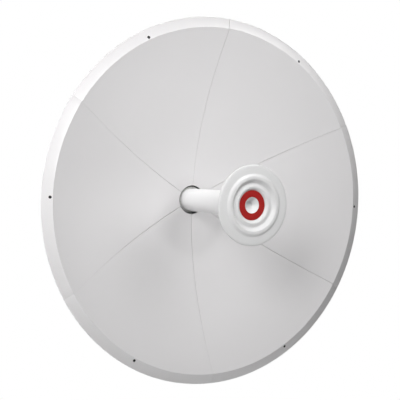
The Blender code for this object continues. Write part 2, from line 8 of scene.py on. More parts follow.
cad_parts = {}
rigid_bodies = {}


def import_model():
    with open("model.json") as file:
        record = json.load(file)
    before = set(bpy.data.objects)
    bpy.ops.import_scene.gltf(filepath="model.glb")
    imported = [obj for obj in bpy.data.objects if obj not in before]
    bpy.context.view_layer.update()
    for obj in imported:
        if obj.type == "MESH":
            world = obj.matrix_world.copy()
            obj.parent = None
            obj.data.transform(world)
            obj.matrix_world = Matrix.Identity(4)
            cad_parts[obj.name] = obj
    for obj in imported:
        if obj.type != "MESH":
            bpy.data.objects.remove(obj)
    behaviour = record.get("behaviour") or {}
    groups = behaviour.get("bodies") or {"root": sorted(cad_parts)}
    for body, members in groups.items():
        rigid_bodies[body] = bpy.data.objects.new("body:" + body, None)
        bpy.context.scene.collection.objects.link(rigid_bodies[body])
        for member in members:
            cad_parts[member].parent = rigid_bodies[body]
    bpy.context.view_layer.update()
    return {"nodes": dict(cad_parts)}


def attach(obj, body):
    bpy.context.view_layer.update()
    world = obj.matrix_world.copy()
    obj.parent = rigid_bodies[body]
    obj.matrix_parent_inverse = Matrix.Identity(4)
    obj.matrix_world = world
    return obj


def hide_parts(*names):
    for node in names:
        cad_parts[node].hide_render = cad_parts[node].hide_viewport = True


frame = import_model()
print("frame loaded:", len(frame["nodes"]), "nodes")

# lengths are in millimetres until addPiece makes a piece of a shape; the dish looks along -Y, +Z is up
mm = 0.001
body = "root"
crispAngle = math.radians(32)    # sharper edges than this stay crisp
joinDistance = 1e-4              # points closer than this become one
past = 5.0                       # how far a cutting shape reaches past the sheet that it cuts
justPast = 1.0                   # and a small cutting shape past a small piece
softSteps = 2                    # segments across a softened edge


# camera, at the photo's viewing angle
camera = {
    "place": (-627.7, -1275.5, 32.9),
    "aim": (-42.1, -240.0, 2.5),
    "roll": 2.693,               # degrees, clockwise for whoever looks through it
    "lens": 61.18,
    "sensor": 36.0,
    "shiftY": 0.0007,
    "nearest": 50.0,
    "farthest": 50000.0,
}


def placeCamera():
    data = bpy.data.cameras.new("dishCamera")
    data.lens = camera["lens"]
    data.sensor_width = camera["sensor"]
    data.shift_y = camera["shiftY"]
    data.clip_start = camera["nearest"] * mm
    data.clip_end = camera["farthest"] * mm
    item = bpy.data.objects.new("dishCamera", data)
    bpy.context.scene.collection.objects.link(item)
    place = Vector(camera["place"]) * mm
    sight = Vector(camera["aim"]) * mm - place
    item.location = place
    item.rotation_mode = "QUATERNION"
    roll = Quaternion((0, 0, 1), math.radians(camera["roll"]))
    item.rotation_quaternion = sight.to_track_quat("-Z", "Y") @ roll
    bpy.context.scene.camera = item


# node helpers for the finishes
noiseSpan = (0.3, 0.7)           # the part of its range that a noise field really fills
cellSpan = (0.0, 1.0)


def plainFinish(look):
    finish = bpy.data.materials.new(look["name"])
    finish.use_nodes = True
    shader = finish.node_tree.nodes["Principled BSDF"]
    shader.inputs["Base Color"].default_value = (*look["colour"], 1.0)
    shader.inputs["Roughness"].default_value = look["roughness"]
    shader.inputs["Metallic"].default_value = look.get("metal", 0.0)
    return finish


def addNode(finish, kind, inputs, **settings):
    node = finish.node_tree.nodes.new(kind)
    for name, value in settings.items():
        setattr(node, name, value)
    for name, value in inputs.items():
        if isinstance(value, bpy.types.NodeSocket):
            finish.node_tree.links.new(value, node.inputs[name])
        else:
            node.inputs[name].default_value = value
    return node


def plug(finish, socket, value):
    shader = finish.node_tree.nodes["Principled BSDF"]
    finish.node_tree.links.new(value, shader.inputs[socket])


def pieceSpace(finish):
    # metres on the piece itself, so a finish stays put when the piece moves
    return addNode(finish, "ShaderNodeTexCoord", {}).outputs["Object"]


def grainField(finish, grain):
    # noise over the piece, drawn out by a stretch; a grain without detail is made of round cells
    space = pieceSpace(finish)
    if "stretch" in grain:
        drawn = addNode(finish, "ShaderNodeMapping", {"Vector": space, "Scale": grain["stretch"]})
        space = drawn.outputs[0]
    inputs = {"Vector": space, "Scale": grain["perMetre"]}
    if "detail" not in grain:
        return addNode(finish, "ShaderNodeTexVoronoi", inputs, feature="SMOOTH_F1").outputs["Distance"]
    inputs["Detail"] = grain["detail"]
    return addNode(finish, "ShaderNodeTexNoise", inputs).outputs["Fac"]


def tint(finish, look, field, span=noiseSpan):
    ramp = addNode(finish, "ShaderNodeValToRGB", {"Fac": field})
    tones = (look["tone"]["darker"], look["tone"]["lighter"])
    for element, place, tone in zip(ramp.color_ramp.elements, span, tones):
        element.position = place
        element.color = (*(channel * tone for channel in look["colour"]), 1.0)
    plug(finish, "Base Color", ramp.outputs["Color"])


def varyGloss(finish, look, field, span=noiseSpan):
    spread = addNode(finish, "ShaderNodeMapRange",
                     {"Value": field, "From Min": span[0], "From Max": span[1],
                      "To Min": look["roughness"] - look["gloss"]["smoother"],
                      "To Max": look["roughness"] + look["gloss"]["rougher"]})
    plug(finish, "Roughness", spread.outputs["Result"])


def roughen(finish, look):
    bump = addNode(finish, "ShaderNodeBump", {"Height": grainField(finish, look["grain"]), "Strength": 1.0,
                                              "Distance": look["grain"]["depth"] * mm})
    plug(finish, "Normal", bump.outputs["Normal"])


def makeFinish(look):
    # every part of a finish varies over the piece: its tone, and where given its gloss and its grain
    finish = plainFinish(look)
    tint(finish, look, grainField(finish, look["tone"]))
    if "gloss" in look:
        varyGloss(finish, look, grainField(finish, look["gloss"]))
    if "grain" in look:
        roughen(finish, look)
    return finish


# powder coat on the petals: orange peel, faint drifts of gloss and tone
powderCoat = {
    "name": "powderCoatWhite",
    "colour": (0.812, 0.80, 0.805),
    "roughness": 0.42,
    "tone": {"perMetre": 5.0, "detail": 4.0, "darker": 0.988, "lighter": 1.012},
    "gloss": {"perMetre": 38.0, "detail": 4.0, "smoother": 0.05, "rougher": 0.05},
    "grain": {"perMetre": 420.0, "detail": 2.0, "depth": 0.05},
}

# moulded plastic of the feed: smoother than the petals, with faint flow marks
mouldedWhite = {
    "name": "mouldedWhite",
    "colour": (0.84, 0.84, 0.84),
    "roughness": 0.36,
    "tone": {"perMetre": 30.0, "detail": 5.0, "stretch": (1.0, 0.25, 1.0), "darker": 0.99, "lighter": 1.01},
    "gloss": {"perMetre": 90.0, "detail": 3.0, "smoother": 0.04, "rougher": 0.05},
    "grain": {"perMetre": 1500.0, "detail": 3.0, "depth": 0.012},
}

# red of the cap's ring
ringRed = {
    "name": "ringRed",
    "colour": (0.43, 0.019, 0.017),
    "roughness": 0.38,
    "tone": {"perMetre": 140.0, "detail": 4.0, "darker": 0.93, "lighter": 1.07},
    "gloss": {"perMetre": 260.0, "detail": 3.0, "smoother": 0.05, "rougher": 0.06},
    "grain": {"perMetre": 1200.0, "detail": 2.0, "depth": 0.015},
}

# aluminium casting: sandy skin in patches of light and dark
castSkin = {
    "name": "castAluminium",
    "colour": (0.40, 0.41, 0.42),
    "roughness": 0.52,
    "metal": 0.75,
    "tone": {"perMetre": 45.0, "detail": 5.0, "darker": 0.82, "lighter": 1.12},
    "gloss": {"perMetre": 700.0, "detail": 4.0, "smoother": 0.08, "rougher": 0.12},
    "grain": {"perMetre": 700.0, "detail": 4.0, "depth": 0.12},
}

# stainless fasteners: fine turning lines and dull facets
fastenerSteel = {
    "name": "fastenerSteel",
    "colour": (0.60, 0.60, 0.58),
    "roughness": 0.28,
    "metal": 1.0,
    "tone": {"perMetre": 180.0, "detail": 4.0, "darker": 0.86, "lighter": 1.06},
    "gloss": {"perMetre": 2600.0, "detail": 2.0, "stretch": (1.0, 0.06, 1.0), "smoother": 0.08,
              "rougher": 0.14},
    "grain": {"perMetre": 2600.0, "detail": 2.0, "stretch": (1.0, 0.06, 1.0), "depth": 0.01},
}

# dark grey housing: even spark-eroded grain
housingGrain = {
    "name": "housingGrain",
    "colour": (0.27, 0.28, 0.29),
    "roughness": 0.55,
    "tone": {"perMetre": 25.0, "detail": 5.0, "darker": 0.92, "lighter": 1.08},
    "gloss": {"perMetre": 25.0, "detail": 5.0, "smoother": 0.05, "rougher": 0.05},
    "grain": {"perMetre": 1400.0, "depth": 0.05},
}

# nickel on the two jacks
nickelPlate = {
    "name": "nickelPlate",
    "colour": (0.70, 0.66, 0.55),
    "roughness": 0.22,
    "metal": 1.0,
    "tone": {"perMetre": 320.0, "detail": 4.0, "darker": 0.90, "lighter": 1.05},
    "gloss": {"perMetre": 320.0, "detail": 4.0, "smoother": 0.04, "rougher": 0.12},
}

# rubber of the seal round the feed tube, and of the nuts in the rim
sealRubber = {
    "name": "sealRubber",
    "colour": (0.46, 0.46, 0.45),
    "roughness": 0.6,
    "tone": {"perMetre": 240.0, "detail": 4.0, "darker": 0.85, "lighter": 1.15},
    "grain": {"perMetre": 1800.0, "detail": 2.0, "depth": 0.02},
}
nutRubber = dict(sealRubber, name="nutRubber", colour=(0.03, 0.03, 0.032))

# hot-dip zinc: flat crystals that differ in tone and gloss
zincSpangle = {
    "name": "zincSpangle",
    "colour": (0.56, 0.58, 0.60),
    "roughness": 0.40,
    "metal": 0.85,
    "perMetre": 130.0,
    "warp": 0.015,               # metres that the crystals' borders are bent by, at most
    "warpPerMetre": 60.0,
    "tone": {"darker": 0.80, "lighter": 1.10},
    "gloss": {"smoother": 0.10, "rougher": 0.10},
    "grain": {"perMetre": 900.0, "detail": 3.0, "depth": 0.04},
}


def makeZincSpangle():
    look = zincSpangle
    finish = plainFinish(look)
    space = pieceSpace(finish)
    warp = addNode(finish, "ShaderNodeTexNoise", {"Vector": space, "Scale": look["warpPerMetre"]})
    bent = addNode(finish, "ShaderNodeMix",
                   {"Factor": look["warp"], "A": space, "B": warp.outputs["Color"]}, data_type="VECTOR")
    cells = addNode(finish, "ShaderNodeTexVoronoi",
                    {"Vector": bent.outputs["Result"], "Scale": look["perMetre"]})
    crystal = addNode(finish, "ShaderNodeSeparateColor", {"Color": cells.outputs["Color"]})
    tint(finish, look, crystal.outputs["Red"], cellSpan)
    varyGloss(finish, look, crystal.outputs["Green"], cellSpan)
    roughen(finish, look)
    return finish


print("making finishes")
white = makeFinish(powderCoat)
plastic = makeFinish(mouldedWhite)
red = makeFinish(ringRed)
cast = makeFinish(castSkin)
zinc = makeZincSpangle()
steel = makeFinish(fastenerSteel)
grey = makeFinish(housingGrain)
nickel = makeFinish(nickelPlate)
greyRubber = makeFinish(sealRubber)
blackRubber = makeFinish(nutRubber)


# shape helpers: every one returns a bmesh in millimetres
def turned(profile, turns, closed=False):
    # spin (radius, y) points about the Y axis; a closed profile makes a tube
    shape = bmesh.new()
    angles = [math.tau * step / turns for step in range(turns)]
    rings = []
    for radius, y in profile:
        if radius < joinDistance:
            rings.append([shape.verts.new((0, y, 0))])
            continue
        rings.append([shape.verts.new((radius * math.cos(a), y, radius * math.sin(a))) for a in angles])
    following = rings[1:] + ([rings[0]] if closed else [])
    for ring, other in zip(rings, following):
        for step in range(turns):
            after = (step + 1) % turns
            corners = (ring[step % len(ring)], ring[after % len(ring)],
                       other[after % len(other)], other[step % len(other)])
            corners = list(dict.fromkeys(corners))
            if len(corners) > 2:
                shape.faces.new(corners)
    return shape


def arc(a, b, radius, start, end, steps=3):
    # points round (a, b), from one angle to another in degrees
    turns = [math.radians(start + (end - start) * step / steps) for step in range(steps + 1)]
    return [(a + radius * math.cos(turn), b + radius * math.sin(turn)) for turn in turns]


def rounded(outline, closed=True, steps=4):
    # an outline of (a, b, corner radius) with an arc at each corner that has a radius
    points = []
    count = len(outline)
    most = 0.49                  # share of a side that one arc may take up
    for index, (a, b, radius) in enumerate(outline):
        atEnd = not closed and index in (0, count - 1)
        if radius <= 0 or atEnd:
            points.append((a, b))
            continue
        corner = Vector((a, b))
        before = Vector(outline[index - 1][:2]) - corner
        after = Vector(outline[(index + 1) % count][:2]) - corner
        half = before.angle(after) / 2
        reach = min(radius / math.tan(half), most * before.length, most * after.length)
        middle = (before.normalized() + after.normalized()).normalized()
        centre = corner + middle * reach / math.cos(half)
        start = corner + before.normalized() * reach - centre
        end = corner + after.normalized() * reach - centre
        turn = math.atan2(start.x * end.y - start.y * end.x, start.dot(end))
        for step in range(steps + 1):
            point = centre + Matrix.Rotation(turn * step / steps, 2) @ start
            points.append((point.x, point.y))
    return points


def boxOutline(wide, tall, corner):
    # half the width, half the height
    return rounded([(-wide, -tall, corner), (wide, -tall, corner), (wide, tall, corner),
                    (-wide, tall, corner)], steps=8)


def extruded(outline, low, high, axis):
    # push an outline along an axis: (x, y) along Z, (y, z) along X, (x, z) along Y
    def spot(a, b, along):
        return {"X": (along, a, b), "Y": (a, along, b), "Z": (a, b, along)}[axis]
    shape = bmesh.new()
    bottom = [shape.verts.new(spot(a, b, low)) for a, b in outline]
    top = [shape.verts.new(spot(a, b, high)) for a, b in outline]
    shape.faces.new(bottom[::-1])
    shape.faces.new(top)
    for index in range(len(outline)):
        after = (index + 1) % len(outline)
        shape.faces.new((bottom[index], bottom[after], top[after], top[index]))
    return shape


def lofted(sections, across=None):
    # skin a row of closed cross-sections that have the same number of points; across lists
    # pairs of points that the end faces are split between, where an end isn't flat
    shape = bmesh.new()
    loops = [[shape.verts.new(spot) for spot in section] for section in sections]
    for loop, other in zip(loops, loops[1:]):
        for index in range(len(loop)):
            after = (index + 1) % len(loop)
            shape.faces.new((loop[index], loop[after], other[after], other[index]))
    for loop in (loops[0], loops[-1]):
        if across is None:
            shape.faces.new(loop)
            continue
        for (a, b), (c, d) in zip(across, across[1:]):
            shape.faces.new((loop[a], loop[c], loop[d], loop[b]))
        first, last = across[0], across[-1]
        shape.faces.new(loop[:first[0] + 1] + loop[first[1]:])
        shape.faces.new(loop[last[0]:last[1] + 1])
    return shape


def faceOut(shape):
    bmesh.ops.remove_doubles(shape, verts=shape.verts, dist=joinDistance)
    bmesh.ops.recalc_face_normals(shape, faces=shape.faces)
    if shape.calc_volume(signed=True) < 0:
        bmesh.ops.reverse_faces(shape, faces=shape.faces)


def moved(shape, matrix):
    bmesh.ops.transform(shape, matrix=matrix, verts=shape.verts)
    return shape


def at(x=0.0, y=0.0, z=0.0):
    return Matrix.Translation((x, y, z))


def aboutDish(degrees):
    return Matrix.Rotation(math.radians(degrees), 4, "Y")


def alongAxis(axis):
    # turns a shape made along +Y so that it lies along another axis
    turns = {"X": ("Z", -90), "-X": ("Z", 90), "Y": ("Z", 0), "-Y": ("Z", 180), "-Z": ("X", -90)}
    about, degrees = turns[axis]
    return Matrix.Rotation(math.radians(degrees), 4, about)


def asMesh(shape, name="shape"):
    faceOut(shape)
    mesh = bpy.data.meshes.new(name)
    shape.to_mesh(mesh)
    shape.free()
    return mesh


def copyOf(mesh):
    shape = bmesh.new()
    shape.from_mesh(mesh)
    return shape


def gathered(shapes):
    # several closed shapes as one, each left whole
    whole = bmesh.new()
    for shape in shapes:
        mesh = asMesh(shape)
        whole.from_mesh(mesh)
        bpy.data.meshes.remove(mesh)
    return whole


def repeated(shape, places):
    mesh = asMesh(shape)
    whole = gathered([moved(copyOf(mesh), place) for place in places])
    bpy.data.meshes.remove(mesh)
    return whole


def carved(shape, tools, operation="DIFFERENCE"):
    # exact Boolean with each tool in turn
    work = bpy.data.objects.new("work", asMesh(shape))
    bpy.context.scene.collection.objects.link(work)
    helpers = []
    for tool in tools:
        helper = bpy.data.objects.new("helper", asMesh(tool))
        bpy.context.scene.collection.objects.link(helper)
        step = work.modifiers.new("step", "BOOLEAN")
        step.operation = operation
        step.solver = "EXACT"
        step.object = helper
        helpers.append(helper)
    bpy.context.view_layer.update()
    graph = bpy.context.evaluated_depsgraph_get()
    result = copyOf(work.evaluated_get(graph).to_mesh())
    for item in [work] + helpers:
        mesh = item.data
        bpy.data.objects.remove(item)
        bpy.data.meshes.remove(mesh)
    return result


def drill(radius, low, high, axis="Y", start=(0.0, 0.0, 0.0), turns=32):
    shape = turned([(0, low), (radius, low), (radius, high), (0, high)], turns)
    return moved(shape, at(*start) @ alongAxis(axis))


def fourCorners(x, z):
    return [(across, up) for across in (-x, x) for up in (-z, z)]


def addPiece(name, shape, finish, stands=(), soften=0.0):
    # scale to metres, make the object and hand it to the frame
    moved(shape, Matrix.Scale(mm, 4))
    bmesh.ops.recalc_face_normals(shape, faces=shape.faces)
    mesh = bpy.data.meshes.new(name)
    shape.to_mesh(mesh)
    shape.free()
    mesh.materials.append(finish)
    mesh.shade_smooth()
    mesh.set_sharp_from_angle(angle=crispAngle)
    piece = bpy.data.objects.new(name, mesh)
    bpy.context.scene.collection.objects.link(piece)
    if soften:
        edge = piece.modifiers.new("edge", "BEVEL")
        edge.width = soften * mm
        edge.segments = softSteps
        edge.limit_method = "ANGLE"
        edge.angle_limit = crispAngle
        weigh = piece.modifiers.new("weigh", "WEIGHTED_NORMAL")
        weigh.keep_sharp = True
    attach(piece, body)
    if stands:
        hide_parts(*stands)
    return piece


# what all fasteners share; they are made along +Y with the head's seat at y = 0
fastener = {
    "cornerDrop": 0.667,         # how far a hexagon's corners are turned off, as a share of their reach
    "cornerRoom": 0.05,          # the cone reaches this far past the corners
    "hexTurns": 72,
    "washerEdge": 0.25,          # rounding, as a share of the thickness
    "washerTurns": 48,
    "threadDepth": 0.54,         # share of the pitch
    "threadRows": 6,             # rows of points to a pitch
    "threadGap": 0.02,           # the plain part ends this far short of the thread
    "tipSlope": 0.8,
    # a pan head from its seat to its top: shares of the radius and of the height
    "panHead": ((0.98, 0.0), (1.0, 0.25), (0.93, 0.6), (0.75, 0.86), (0.45, 1.0)),
    "panTurns": 40,
    "lobes": 6,
    "lobeSwing": 0.16,           # share of the driver recess's radius that its lobes swing in and out
    "lobeSteps": 36,
    "recessFloor": 0.45,         # share of the head's height
}


def hexPrism(corner, low, high, chamferLow, chamferHigh, bore=0.0):
    # a hexagon whose corners are turned off to a cone, as on a rolled bolt or nut
    outline = [(corner * math.cos(math.radians(60 * k)), corner * math.sin(math.radians(60 * k)))
               for k in range(6)]
    flat = corner * math.cos(math.pi / 6)
    drop = (corner - flat) * fastener["cornerDrop"]
    clear = corner + fastener["cornerRoom"]
    envelope = [(0, low), (flat, low), (clear, low + drop), (clear, high - drop), (flat, high), (0, high)]
    if not chamferLow:
        envelope[1:3] = [(clear, low)]
    if not chamferHigh:
        envelope[-3:-1] = [(clear, high)]
    shape = carved(extruded(outline, low, high, "Y"), [turned(envelope, fastener["hexTurns"])], "INTERSECT")
    if bore:
        shape = carved(shape, [drill(bore, low - justPast, high + justPast)])
    return shape


def washer(inner, outer, low, high):
    edge = (high - low) * fastener["washerEdge"]
    outline = [(inner, low, edge), (outer, low, edge), (outer, high, edge), (inner, high, edge)]
    return turned(rounded(outline, steps=3), fastener["washerTurns"], closed=True)


def threadedBar(radius, low, high, threadLow, pitch, tip=1.0, turns=30):
    # a bar along Y, plain at first, then with a helical thread and a chamfered tip
    count = round((high - threadLow) / pitch * fastener["threadRows"])
    rows = [low, threadLow - fastener["threadGap"]]
    rows += [threadLow + (high - threadLow) * step / count for step in range(count + 1)]
    sections = []
    for y in rows:
        depth = fastener["threadDepth"] * pitch * max(0.0, min(1.0, (y - threadLow) / pitch))
        chamfer = fastener["tipSlope"] * max(0.0, y - (high - tip))
        section = []
        for step in range(turns):
            angle = math.tau * step / turns
            wave = 0.5 - 0.5 * math.cos(math.tau * y / pitch - angle)
            reach = radius - depth * wave - chamfer
            section.append((reach * math.cos(angle), y, reach * math.sin(angle)))
        sections.append(section)
    return lofted(sections)


def panScrew(radius, height, recess):
    # a pan head with a six-lobed driver recess, seat at y = 0 and head towards -Y
    edge = [(radius * out, -height * up) for out, up in fastener["panHead"]]
    head = turned([(0, 0)] + edge + [(0, -height)], fastener["panTurns"])
    lobes = []
    for step in range(fastener["lobeSteps"]):
        angle = math.tau * step / fastener["lobeSteps"]
        reach = recess * (1 + fastener["lobeSwing"] * math.cos(fastener["lobes"] * angle))
        lobes.append((reach * math.cos(angle), reach * math.sin(angle)))
    floorY = -height * fastener["recessFloor"]
    return carved(head, [extruded(lobes, -height - justPast, floorY, "Y")])


# the six petals: a pressed bowl with ribs along both sides, and its flange
petal = {
    "count": 6,
    "rimY": -240.0,              # plane of the rim's outer edge
    "radius": 325.0,
    "flangeWidth": 18.1,
    "flangeRise": 3.8,
    "focalLength": 213.5,
    "holeRadius": 27.3,
    "sheet": 3.0,
    "seamGapHub": 0.66,          # the seams narrow evenly from the middle of the dish
    "seamGapRim": 0.23,
    "seamRounding": 0.3,
    "edgeRounding": 1.2,
    "backRounding": 0.8,
    "holePlace": 311.2,
    "holeSize": 2.2,
    "holeChamfer": 0.15,
    "holeTurns": 32,
    "holeRoom": 0.4,             # the hole is this much wider in the sheet behind the flange
    "stepsOut": 44,
    "stepsAcross": 26,
    # how each petal lies against its seat: mm clockwise at the hub, degrees clockwise
    "lie": ((-0.35, 0.050), (-0.25, 0.064), (-0.04, 0.066), (0.04, 0.012), (0.36, -0.090), (0.24, -0.102)),
}
petalRib = {
    "start": 86.0,
    "foot": 1.2,                 # the ribs stand up from the sheet over this length
    "startHeight": 9.5,          # over the back of the sheet
    "height": 15.5,
    "riseLength": 22.0,
    "fallStart": 282.0,
    "end": 316.8,
    "endDepth": 8.0,             # behind the rim plane
    "thickness": 2.5,
    "inset": 0.5,
    "rootFillet": 2.2,
    "edgeRounding": 0.7,
}
rimRib = {"radius": 319.0, "thickness": 2.5, "depth": 9.0, "rounding": 0.8, "rootFillet": 1.6}
creaseRadius = petal["radius"] - petal["flangeWidth"]
flangeSlope = petal["flangeRise"] / petal["flangeWidth"]
petalAngle = 360 / petal["count"]
petalHalfAngle = math.radians(petalAngle / 2)


def bowlY(radius):
    # depth of the reflecting face
    lift = (creaseRadius ** 2 - radius ** 2) / (4 * petal["focalLength"])
    return petal["rimY"] - petal["flangeRise"] + lift


def bowlSlope(radius):
    return radius / (2 * petal["focalLength"])


def flangeY(radius):
    share = (petal["radius"] - radius) / petal["flangeWidth"]
    return petal["rimY"] - petal["flangeRise"] * share


def halfGap(radius):
    share = radius / petal["radius"]
    return (petal["seamGapHub"] + (petal["seamGapRim"] - petal["seamGapHub"]) * share) / 2


def bowlBack(radius):
    # the point behind the sheet, square to the front at this radius
    slope = bowlSlope(radius)
    reach = petal["sheet"] / math.hypot(1, slope)
    return radius + reach * slope, bowlY(radius) + reach


def creaseBack():
    # where the backs of bowl and flange meet
    slope = -bowlSlope(creaseRadius)
    bowlStart = bowlBack(creaseRadius)
    flangeRun = petal["sheet"] / math.hypot(1, flangeSlope)
    flangeStart = (creaseRadius - flangeRun * flangeSlope, flangeY(creaseRadius) + flangeRun)
    across = flangeStart[1] - bowlStart[1] - flangeSlope * (flangeStart[0] - bowlStart[0])
    radius = bowlStart[0] + across / (slope - flangeSlope)
    return radius, bowlStart[1] + slope * (radius - bowlStart[0])


def seamSpot(side, offset, radius, y):
    # a point beside the seam at side * 30 degrees, this far from it towards the petal's middle
    angle = side * petalHalfAngle
    along = math.sqrt(radius ** 2 - offset ** 2)
    return (along * math.cos(angle) + offset * side * math.sin(angle), y,
            along * math.sin(angle) - offset * side * math.cos(angle))


def seamEdge(gap):
    # the rounded front edge beside a seam, as distances from the seam and behind the front
    edge = petal["seamRounding"]
    return arc(gap + edge, edge, edge, 180, 270)


def reachTo(offset, radius):
    # angle from the petal's middle to where it stands this far from the seam
    return petalHalfAngle - math.asin(offset / radius)


def rowAcross(radius, y, reach):
    # the points between a petal's two sides, from reach to -reach
    steps = petal["stepsAcross"]
    angles = [reach * (1 - 2 * step / steps) for step in range(1, steps)]
    return [(radius * math.cos(angle), y, radius * math.sin(angle)) for angle in angles]


def ribHeight(radius):
    # how far the side ribs stand behind the sheet
    look = petalRib
    if radius < look["start"]:
        return 0.0
    rise = min(1.0, (radius - look["start"]) / look["riseLength"])
    height = look["startHeight"] + (look["height"] - look["startHeight"]) * math.sin(rise * math.pi / 2)
    if radius > look["fallStart"]:
        share = (radius - look["fallStart"]) / (look["end"] - look["fallStart"])
        startY = bowlY(look["fallStart"]) + petal["sheet"] + look["height"]
        edgeY = startY + (petal["rimY"] + look["endDepth"] - startY) * share
        backY = bowlY(radius) if radius <= creaseRadius else flangeY(radius)
        height = edgeY - backY - petal["sheet"]
    return height


def petalSection(frontRadius, frontY, backRadius, backY, height):
    # one closed cross-section of the petal: side, front, side, rib, back, rib
    gap = halfGap(frontRadius)
    inner = gap + petalRib["inset"]
    outer = inner + petalRib["thickness"]
    bend = petalRib["edgeRounding"]
    root = petalRib["rootFillet"]
    full = petalRib["height"]
    flank = [(gap, 0.0), (inner, 0.0)]
    flank += arc(inner + bend, full - bend, bend, 180, 90) + arc(outer - bend, full - bend, bend, 90, 0)
    flank += arc(outer + root, root, root, 180, 270, steps=4)
    edges, ribs = {}, {}
    for side in (1, -1):
        edges[side] = [seamSpot(side, offset, frontRadius, frontY + sink) for offset, sink in seamEdge(gap)]
        ribs[side] = [seamSpot(side, offset, backRadius, backY + height * lift / full)
                      for offset, lift in flank]
    front = rowAcross(frontRadius, frontY, reachTo(gap + petal["seamRounding"], frontRadius))
    back = rowAcross(backRadius, backY, -reachTo(outer + root, backRadius))
    return edges[1] + front + edges[-1][::-1] + ribs[-1] + back + ribs[1][::-1]


def petalBowl():
    # the bowl, and its ribs run on behind the flange
    radii = [petal["holeRadius"] + (creaseRadius - petal["holeRadius"]) * step / petal["stepsOut"]
             for step in range(petal["stepsOut"])]
    radii = sorted(set(radii + [petalRib["start"] - petalRib["foot"], petalRib["start"]]))
    places = [(radius, *bowlBack(radius)) for radius in radii] + [(creaseRadius, *creaseBack())]
    sections = [petalSection(radius, bowlY(radius), backRadius, backY, ribHeight(backRadius))
                for radius, backRadius, backY in places]
    hidden = petal["sheet"] / 3      # past the crease the sheet is inside the flange
    for radius in (creaseRadius + 1, (creaseRadius + petalRib["end"]) / 2, petalRib["end"]):
        frontY = flangeY(radius) + hidden
        sections.append(petalSection(radius, frontY, radius, frontY + hidden, ribHeight(radius) + hidden))
    # points in a section's edge, rib and front row; the end faces are split from front row to back row
    edge, rib, row = 4, 15, petal["stepsAcross"] - 1
    firstBack = 2 * edge + row + rib - 1
    across = [(edge - 1 + step, firstBack + row + 1 - step) for step in range(row + 2)]
    front, rear = petal["rimY"] - 2 * past, petal["rimY"] + 6 * past
    room = drill(petal["holeSize"] + petal["holeRoom"], front, rear, start=(petal["holePlace"], 0.0, 0.0))
    return carved(lofted(sections, across), [room])


def petalFlange():
    # the flange with its rolled edge and the stiffening rib behind it, swept round a sixth
    run = petal["sheet"] / math.hypot(1, flangeSlope)
    rib, ribEnd = rimRib, petal["rimY"] + rimRib["depth"]
    inner = rib["radius"] - rib["thickness"]
    backEnd = (petal["radius"] - run * flangeSlope, petal["rimY"] + run)

    def backY(radius):
        return backEnd[1] + flangeSlope * (radius - backEnd[0])
    outline = [(creaseRadius, flangeY(creaseRadius), 0),
               (petal["radius"], petal["rimY"], petal["edgeRounding"]),
               (*backEnd, petal["backRounding"]), (rib["radius"], backY(rib["radius"]), rib["rootFillet"]),
               (rib["radius"], ribEnd, rib["rounding"]), (inner, ribEnd, rib["rounding"]),
               (inner, backY(inner), rib["rootFillet"]), (*creaseBack(), 0)]
    profile = rounded(outline)
    frontCount = 1 + 5           # the crease and the rolled edge: only these are rounded at the seams
    gap = halfGap(petal["radius"])
    ends = {}
    for side in (1, -1):
        ends[side] = [[seamSpot(side, offset, radius, y + (sink if index < frontCount else 0.0))
                       for index, (radius, y) in enumerate(profile)] for offset, sink in seamEdge(gap)]
    rows = [rowAcross(radius, y, reachTo(gap + petal["seamRounding"], radius)) for radius, y in profile]
    shape = lofted(ends[1] + list(zip(*rows)) + ends[-1][::-1])
    size, chamfer, above = petal["holeSize"], petal["holeChamfer"], 3.0
    faceY, rear = flangeY(petal["holePlace"]), petal["rimY"] + 4 * past
    hole = turned([(0, faceY - above), (size + above + chamfer, faceY - above), (size, faceY + chamfer),
                   (size, rear), (0, rear)], petal["holeTurns"])
    return carved(shape, [atRimHole(hole)])


def atRimHole(shape):
    # out to the rim hole, leaning as the flange does
    lean = Matrix.Identity(4)
    lean[1][0] = flangeSlope
    return moved(shape, at(petal["holePlace"]) @ lean)


def buildPetals():
    parts = {"bowl": asMesh(petalBowl()), "flange": asMesh(petalFlange())}
    for index, (shift, swing) in enumerate(petal["lie"]):
        number = index + 1
        middle = petalAngle - petalAngle * index - swing
        turn = aboutDish(-middle) @ at(z=-shift)
        for part, mesh in parts.items():
            addPiece(f"petal_{number}_{part}", moved(copyOf(mesh), turn), white,
                     [f"petal_{number}"])
    for mesh in parts.values():
        bpy.data.meshes.remove(mesh)


# rubber nuts in the six rim holes
rimNut = {"shank": 3.2, "lip": 4.2, "lipThickness": 1.2, "length": 8.5, "bore": 1.3, "boreDepth": 7.0,
          "play": 0.1, "frontLip": 2.4, "frontLipThickness": 0.25, "frontGap": 0.05, "endRounding": 0.6,
          "rounding": 0.3, "frontRounding": 0.2, "turns": 32}


def buildRimNuts():
    look = rimNut
    face = flangeY(petal["holePlace"]) - look["frontGap"]
    front = face - look["frontLipThickness"]
    seat = flangeY(petal["holePlace"]) + petal["sheet"] + look["play"]
    lipBack, end, floorY = seat + look["lipThickness"], seat + look["length"], seat + look["boreDepth"]
    sleeve = petal["holeSize"] - look["play"]
    profile = rounded([(0, end, 0), (look["shank"], end, look["endRounding"]),
                       (look["shank"], lipBack, look["rounding"]), (look["lip"], lipBack, look["rounding"]),
                       (look["lip"], seat, 0), (sleeve, seat, 0), (sleeve, face, 0),
                       (look["frontLip"], face, 0), (look["frontLip"], front, look["frontRounding"]),
                       (look["bore"], front, look["frontRounding"]), (look["bore"], floorY, 0),
                       (0, floorY, 0)], closed=False)
    nut = atRimHole(turned(profile, look["turns"]))
    places = [aboutDish(petalAngle * k) for k in range(petal["count"])]
    addPiece("rim_nuts", repeated(nut, places), blackRubber)


